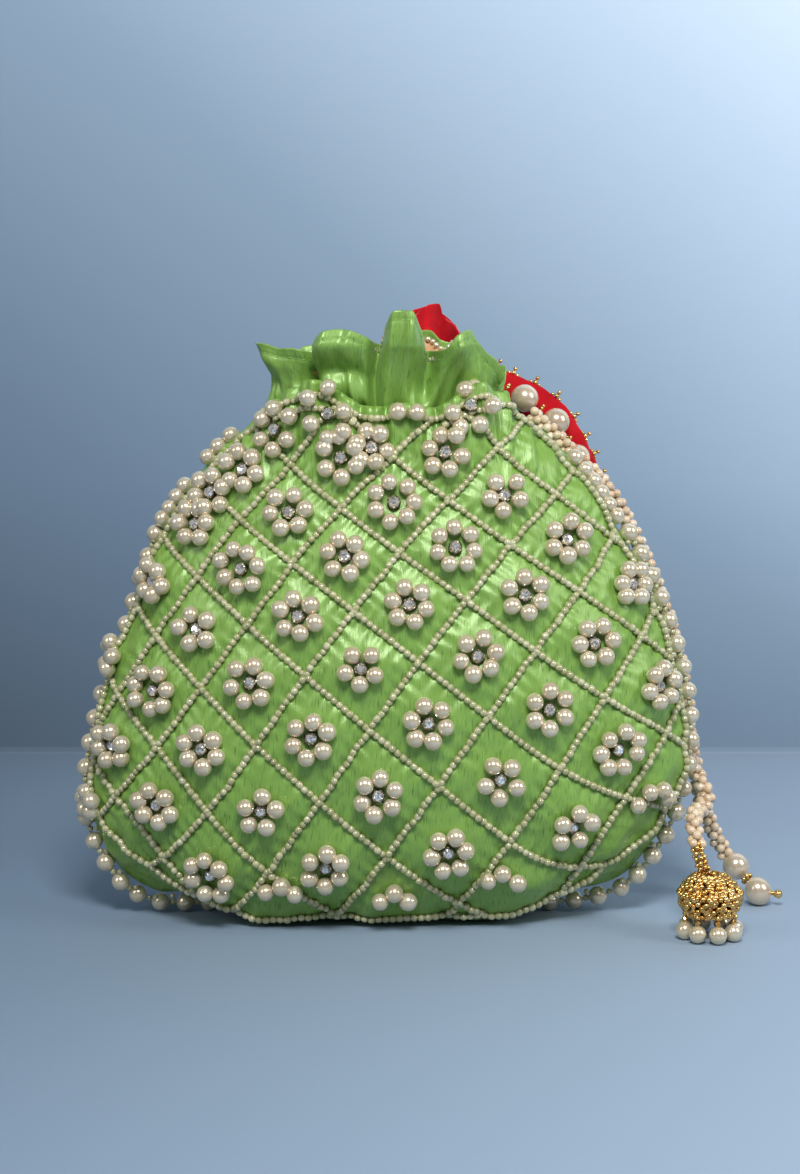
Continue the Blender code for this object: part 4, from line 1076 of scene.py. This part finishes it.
# Two ropes, each of three twisted strands of beads
ropes = {"bead": 3.45, "strandRadius": 1.85, "twist": 17.0, "strands": 3, "diameter": 6.8}
ropeRoutes = {
    "ropeA": [(53, 10, 186), (62.5, 9.5, 177), (71, 8, 168.5), (79.5, 5, 160.5), (86.5, 6, 151),
              (93, 9, 139), (99.5, 10.5, 125), (105, 11, 110), (109.5, 10.5, 94), (112.6, 10, 78),
              (113.4, 9, 64), (114.3, 7.2, 54), (117.2, 4.5, 47), (119.2, -3, 42), (116.2, -11, 40),
              (113, -19, 39.5), (112, -28, 36.5), (112.3, -34, 31.5)],
    "ropeB": [(50, 18.5, 178), (60, 18, 168.5), (70, 18.5, 157), (80, 17.5, 145), (89, 17.5, 131),
              (97, 18.5, 118), (104.3, 20, 104), (109, 20, 90), (112, 19, 78), (113.8, 18, 65),
              (116.6, 16.2, 51.5), (118, 15.8, 42), (120.6, 15.5, 32.8), (123, 15.3, 27), (125.3, 15.2, 22),
              (128.3, 15, 17)]}


def carriedFrames(path):
    # Sideways directions that turn no more than the path does
    tangent = unit(np.gradient(path, axis=0))
    x = np.cross(tangent[0], np.array([0.0, 1.0, 0.0]))
    xs = []
    for t in tangent:
        x = unit(x - t * np.dot(x, t))
        xs.append(x)
    xs = np.array(xs)
    return xs, np.cross(tangent, xs)


def twisted(path, count, pitch, radius):
    xs, ys = carriedFrames(path)
    turns = [2 * math.pi * (runningLength(path) / pitch + q / count) for q in range(count)]
    return [path + (xs * np.cos(a)[:, None] + ys * np.sin(a)[:, None]) * radius for a in turns]


def beadedRope(name, route, seed):
    path, bead = spline(route, 1.0), ropes["bead"]
    strands = twisted(path, ropes["strands"], ropes["twist"], ropes["strandRadius"])
    made = beadsOnLines(name, [line[2 + q:] for q, line in enumerate(strands)],
                        (bead * 0.99, bead, bead * 0.94), 0.06, (14, 8), seed, peachGlass)
    return made, path, runningLength(path)[-1]


ropeA, pathA, lengthA = beadedRope("ropeA", ropeRoutes["ropeA"], 11)
ropeB, pathB, lengthB = beadedRope("ropeB", ropeRoutes["ropeB"], 13)

# First tassel: bead neck, woven ball over a dark core, and a fringe of pearls
jhumka = {"at": np.array([116.1, -42.0, 14.9]), "half": np.array([11.0, 11.0, 8.2]), "bead": 2.15,
          "helix": 11, "rings": (-0.72, 0.18, 0.95), "grains": 260, "goldenAngle": 2.39996,
          "neck": (5, 22.0, 1.7), "fringe": 6.4, "fringeCount": 8, "fringeRadius": 9.4}


def onBall(lat, lon, grow=1.0):
    h = jhumka["half"] * grow
    flat = [h[0] * math.cos(lat) * math.cos(lon), h[1] * math.cos(lat) * math.sin(lon), h[2] * math.sin(lat)]
    return jhumka["at"] + np.array(flat)


weave = []
for sign in (-1, 1):
    for q in range(jhumka["helix"]):
        base = 2 * math.pi * q / jhumka["helix"] + (0.1 if sign > 0 else 0)
        weave.append([onBall(lat, base + sign * 1.0 * (lat + 0.5) * 0.9, 0.95 if sign < 0 else 1.0)
                      for lat in np.linspace(-0.78, 1.2, 40)])
for lat in jhumka["rings"]:
    weave.append([onBall(lat, lon, 1.03) for lon in np.linspace(0, 2 * math.pi, 61)])
pick = random.Random(23)
grainAt = []
for k in range(jhumka["grains"]):
    lat = math.asin(-0.72 + 1.68 * (k + 0.5) / jhumka["grains"]) + pick.uniform(-0.05, 0.05)
    lon = k * jhumka["goldenAngle"] + pick.uniform(-0.09, 0.09)
    grainAt.append(onBall(lat, lon, pick.uniform(0.92, 1.0)))
bead = jhumka["bead"]
jhumkaGrains = beadsOnPoints("jhumkaGrains", grainAt, [pick.uniform(0.8, 1.1) for _ in grainAt], bead,
                             (10, 6), 29, goldMetal)
jhumkaBeads = beadsOnLines("jhumkaBeads", weave, (bead * 0.98, bead, bead * 0.95), 0.12, (10, 6), 17, goldMetal)
verts = [onBall(lat, lon, 0.86) for lat in np.linspace(-1.35, 1.35, 16) for lon in
         np.linspace(0, 2 * math.pi, 32, endpoint=False)]
faces = gridFaces(16, 32, True) + [tuple(reversed(range(32))), tuple(range(480, 512))]
jhumkaCore = toMesh("jhumkaCore", verts, faces, darkCore)

ropeWay = unit(pathA[-1] - pathA[-3])
neckLine = spline([pathA[-1] + ropeWay * 0.6, pathA[-1] + ropeWay * 3.4,
                   jhumka["at"] + np.array([-2.0, 2.2, jhumka["half"][2] + 1.1])], 0.5)
jhumkaNeck = beadsOnLines("jhumkaNeck", twisted(neckLine, *jhumka["neck"]), (1.95, 2.0, 1.9), 0.1, (10, 6), 19,
                          goldMetal)
fringeAt, fringeGold = [], []
for k in range(jhumka["fringeCount"]):
    angle = 2 * math.pi * (k + 0.25) / jhumka["fringeCount"]
    c = jhumka["at"] + np.array([math.cos(angle), math.sin(angle), 0]) * jhumka["fringeRadius"]
    fringeAt.append(np.array([c[0], c[1], 3.3]))
    fringeGold += [np.array([c[0], c[1], 7.35]), np.array([c[0], c[1], 9.3])]
fringePearls = beadsOnPoints("fringePearls", fringeAt, np.ones(8), jhumka["fringe"], (24, 14), 5, pearlIvory)
fringeBeads = beadsOnPoints("fringeBeads", fringeGold, np.tile([1.0, 0.85], 8), 2.2, (8, 5), 5, goldMetal,
                            Smooth=False)

# Second tassel: two big pearls, gold between, and a gold end bead
firstPearl, secondPearl = np.array([132.1, 13.6, 12.4]), np.array([139.3, 4.1, 5.35])
tasselPearls = beadsOnPoints("tasselPearls", [firstPearl, secondPearl], [1.0, 1.0], 10.5, (32, 20), 5,
                             pearlBig)
way = unit(secondPearl - firstPearl)
between = (firstPearl + secondPearl) / 2
spacerAt = [between] + ringRound(between, way, unit(np.cross(way, np.array([0, 0, 1.0]))), 1.7)
tasselSpacer = beadsOnPoints("tasselSpacer", spacerAt, [1.0] + [0.85] * 6, 2.2, (12, 8), 7, goldMetal)
endAt = secondPearl + np.array([7.2, -2.0, -0.6])
endWay = unit(endAt - secondPearl)
tasselEnd = beadsOnPoints("tasselEnd", [endAt, secondPearl + endWay * 5.4], [1.0, 0.5], 3.4, (14, 9), 7,
                          goldMetal)

for piece, nodes, slotName in (
        (ropeA, ["drawstring_a"], "peach_bead"), (ropeB, ["drawstring_b"], "peach_bead"),
        (jhumkaBeads, ["jhumka_ball"], "gold_bead"), (jhumkaGrains, [], "gold_bead"),
        (jhumkaCore, [], "gold_bead"),
        (jhumkaNeck, ["gold_bead_neck"], "gold_bead"),
        (fringePearls, ["fringe_pearl_%d" % (k + 1) for k in range(8)], "cream_pearl"),
        (fringeBeads, [], "gold_bead"), (tasselPearls, ["tassel_pearl_1", "tassel_pearl_2"], "cream_pearl"),
        (tasselSpacer, ["tassel_gold_spacer"], "gold_bead"), (tasselEnd, ["tassel_end_bead"], "gold_bead")):
    attach(piece, slotName, *nodes)
print("ropes made, lengths in mm", round(lengthA, 1), round(lengthB, 1))

# Floor running up into a wall, lights and camera
# The wall and floor stops run from dark to light and hold the backdrop's painted light
studio = {"wallAt": 290.0, "cove": 3.0, "keyPower": 13.2, "sidePower": 4.2, "leftPower": 2.6,
          "worldLight": 0.165,
          "wall": [(0.0, (0.075, 0.117, 0.170)), (0.25, (0.142, 0.216, 0.308)), (0.5, (0.245, 0.345, 0.455)),
                   (0.75, (0.47, 0.60, 0.74)), (1.0, (0.76, 0.88, 0.97))],
          "floor": [(0.0, (0.115, 0.172, 0.24)), (1.0, (0.32, 0.41, 0.52))]}
profile = [(-1500.0, 0.0)]
cove, coveFoot = studio["cove"], studio["wallAt"] - studio["cove"]
profile += [(coveFoot + cove * math.sin(a), cove - cove * math.cos(a)) for a in np.linspace(0, math.pi / 2, 14)]
profile += [(studio["wallAt"], 1600.0)]
verts = [np.array([x, y, z]) for y, z in profile for x in (-1800.0, 1800.0)]
backdropPaint, tree, shader = newMaterial("backdropPaint", (0.2, 0.3, 0.4), 0.7)
source = addNode(tree, "ShaderNodeTexCoord").outputs["Object"]
split = addNode(tree, "ShaderNodeSeparateXYZ")
tree.links.new(source, split.inputs[0])
# Painted light: the wall is coloured lighter towards the right and upwards, standing in for light from the
# upper right
paintedSideLight = greyRamp(tree, split.outputs["X"], -0.25, 0.25, 0.0, 0.525)
paintedHeightLight = greyRamp(tree, split.outputs["Z"], 0.02, 0.42, 0.0, 0.475)
both = addNode(tree, "ShaderNodeMath", {"operation": "ADD"})
tree.links.new(paintedSideLight, both.inputs[0])
tree.links.new(paintedHeightLight, both.inputs[1])
wallColourAndPaintedLight = rampOf(tree, both.outputs[0], studio["wall"])
# Painted light: the floor is coloured darker on the left and lighter on the right, as if lit from the right
floorColourAndPaintedLight = rampOf(tree, greyRamp(tree, split.outputs["X"], -0.25, 0.25), studio["floor"])
# Painted shade: the wall is darkened towards its foot, where it meets the floor
shade = greyRamp(tree, split.outputs["Z"], 0.0, 0.13, 0.76, 1.0)
wallColourAndPaintedLight = mixColours(tree, 1.0, wallColourAndPaintedLight, shade, "MULTIPLY")
tone = mixColours(tree, greyRamp(tree, split.outputs["Z"], 0.0, 0.0008), floorColourAndPaintedLight, wallColourAndPaintedLight)
tree.links.new(tone, shader.inputs["Base Color"])
# The wall is clear from behind, so that the back of the bag can be seen
clear = addNode(tree, "ShaderNodeBsdfTransparent")
facing = addNode(tree, "ShaderNodeNewGeometry")
oneSided = addNode(tree, "ShaderNodeMixShader")
tree.links.new(facing.outputs["Backfacing"], oneSided.inputs[0])
tree.links.new(shader.outputs[0], oneSided.inputs[1])
tree.links.new(clear.outputs[0], oneSided.inputs[2])
tree.links.new(oneSided.outputs[0], tree.nodes["Material Output"].inputs["Surface"])
backdrop = toMesh("backdrop", verts, gridFaces(len(profile), 2), backdropPaint)
behind = [np.array([x, y, 0.0]) for y in (coveFoot, 1800.0) for x in (-1800.0, 1800.0)]
floorBehind = toMesh("floorBehind", behind, gridFaces(2, 2), backdropPaint)


def areaLight(name, place, target, size, power):
    data = bpy.data.lights.new(name, "AREA")
    data.shape = "RECTANGLE"
    data.size, data.size_y = size
    data.energy = power
    lamp = newObject(name, data)
    lamp.location = place
    lamp.rotation_euler = (Vector(target) - Vector(place)).to_track_quat("-Z", "Y").to_euler()


areaLight("softTop", (0.05, -0.85, 0.95), (0, 0, 0.1), (0.42, 0.32), studio["keyPower"])
areaLight("softRight", (0.9, -0.4, 0.6), (0, 0, 0.1), (0.4, 0.5), studio["sidePower"])
areaLight("softLeft", (-0.9, -0.6, 0.6), (0, 0, 0.1), (0.4, 0.5), studio["leftPower"])
world = bpy.data.worlds.new("studioWorld")
world.use_nodes = True
sky = world.node_tree.nodes["Background"]
sky.inputs["Color"].default_value = (0.92, 0.95, 1.0, 1.0)
sky.inputs["Strength"].default_value = studio["worldLight"]
bpy.context.scene.world = world

camera = {"place": (4.5, -1050.0, 270.0), "lens": 85.86, "sensor": 36.0, "shift": -399 / 1174}
lensData = bpy.data.cameras.new("photoCamera")
lensData.sensor_fit = "VERTICAL"
lensData.sensor_height = camera["sensor"]
lensData.sensor_width = camera["sensor"]
lensData.lens = camera["lens"]
lensData.shift_y = camera["shift"]
photoCamera = newObject("photoCamera", lensData)
photoCamera.location = (np.array(camera["place"]) + bagShift) * mm
photoCamera.rotation_euler = (math.pi / 2, 0, 0)
bpy.context.scene.camera = photoCamera
bpy.context.scene.view_settings.view_transform = "Standard"
print("stage set")
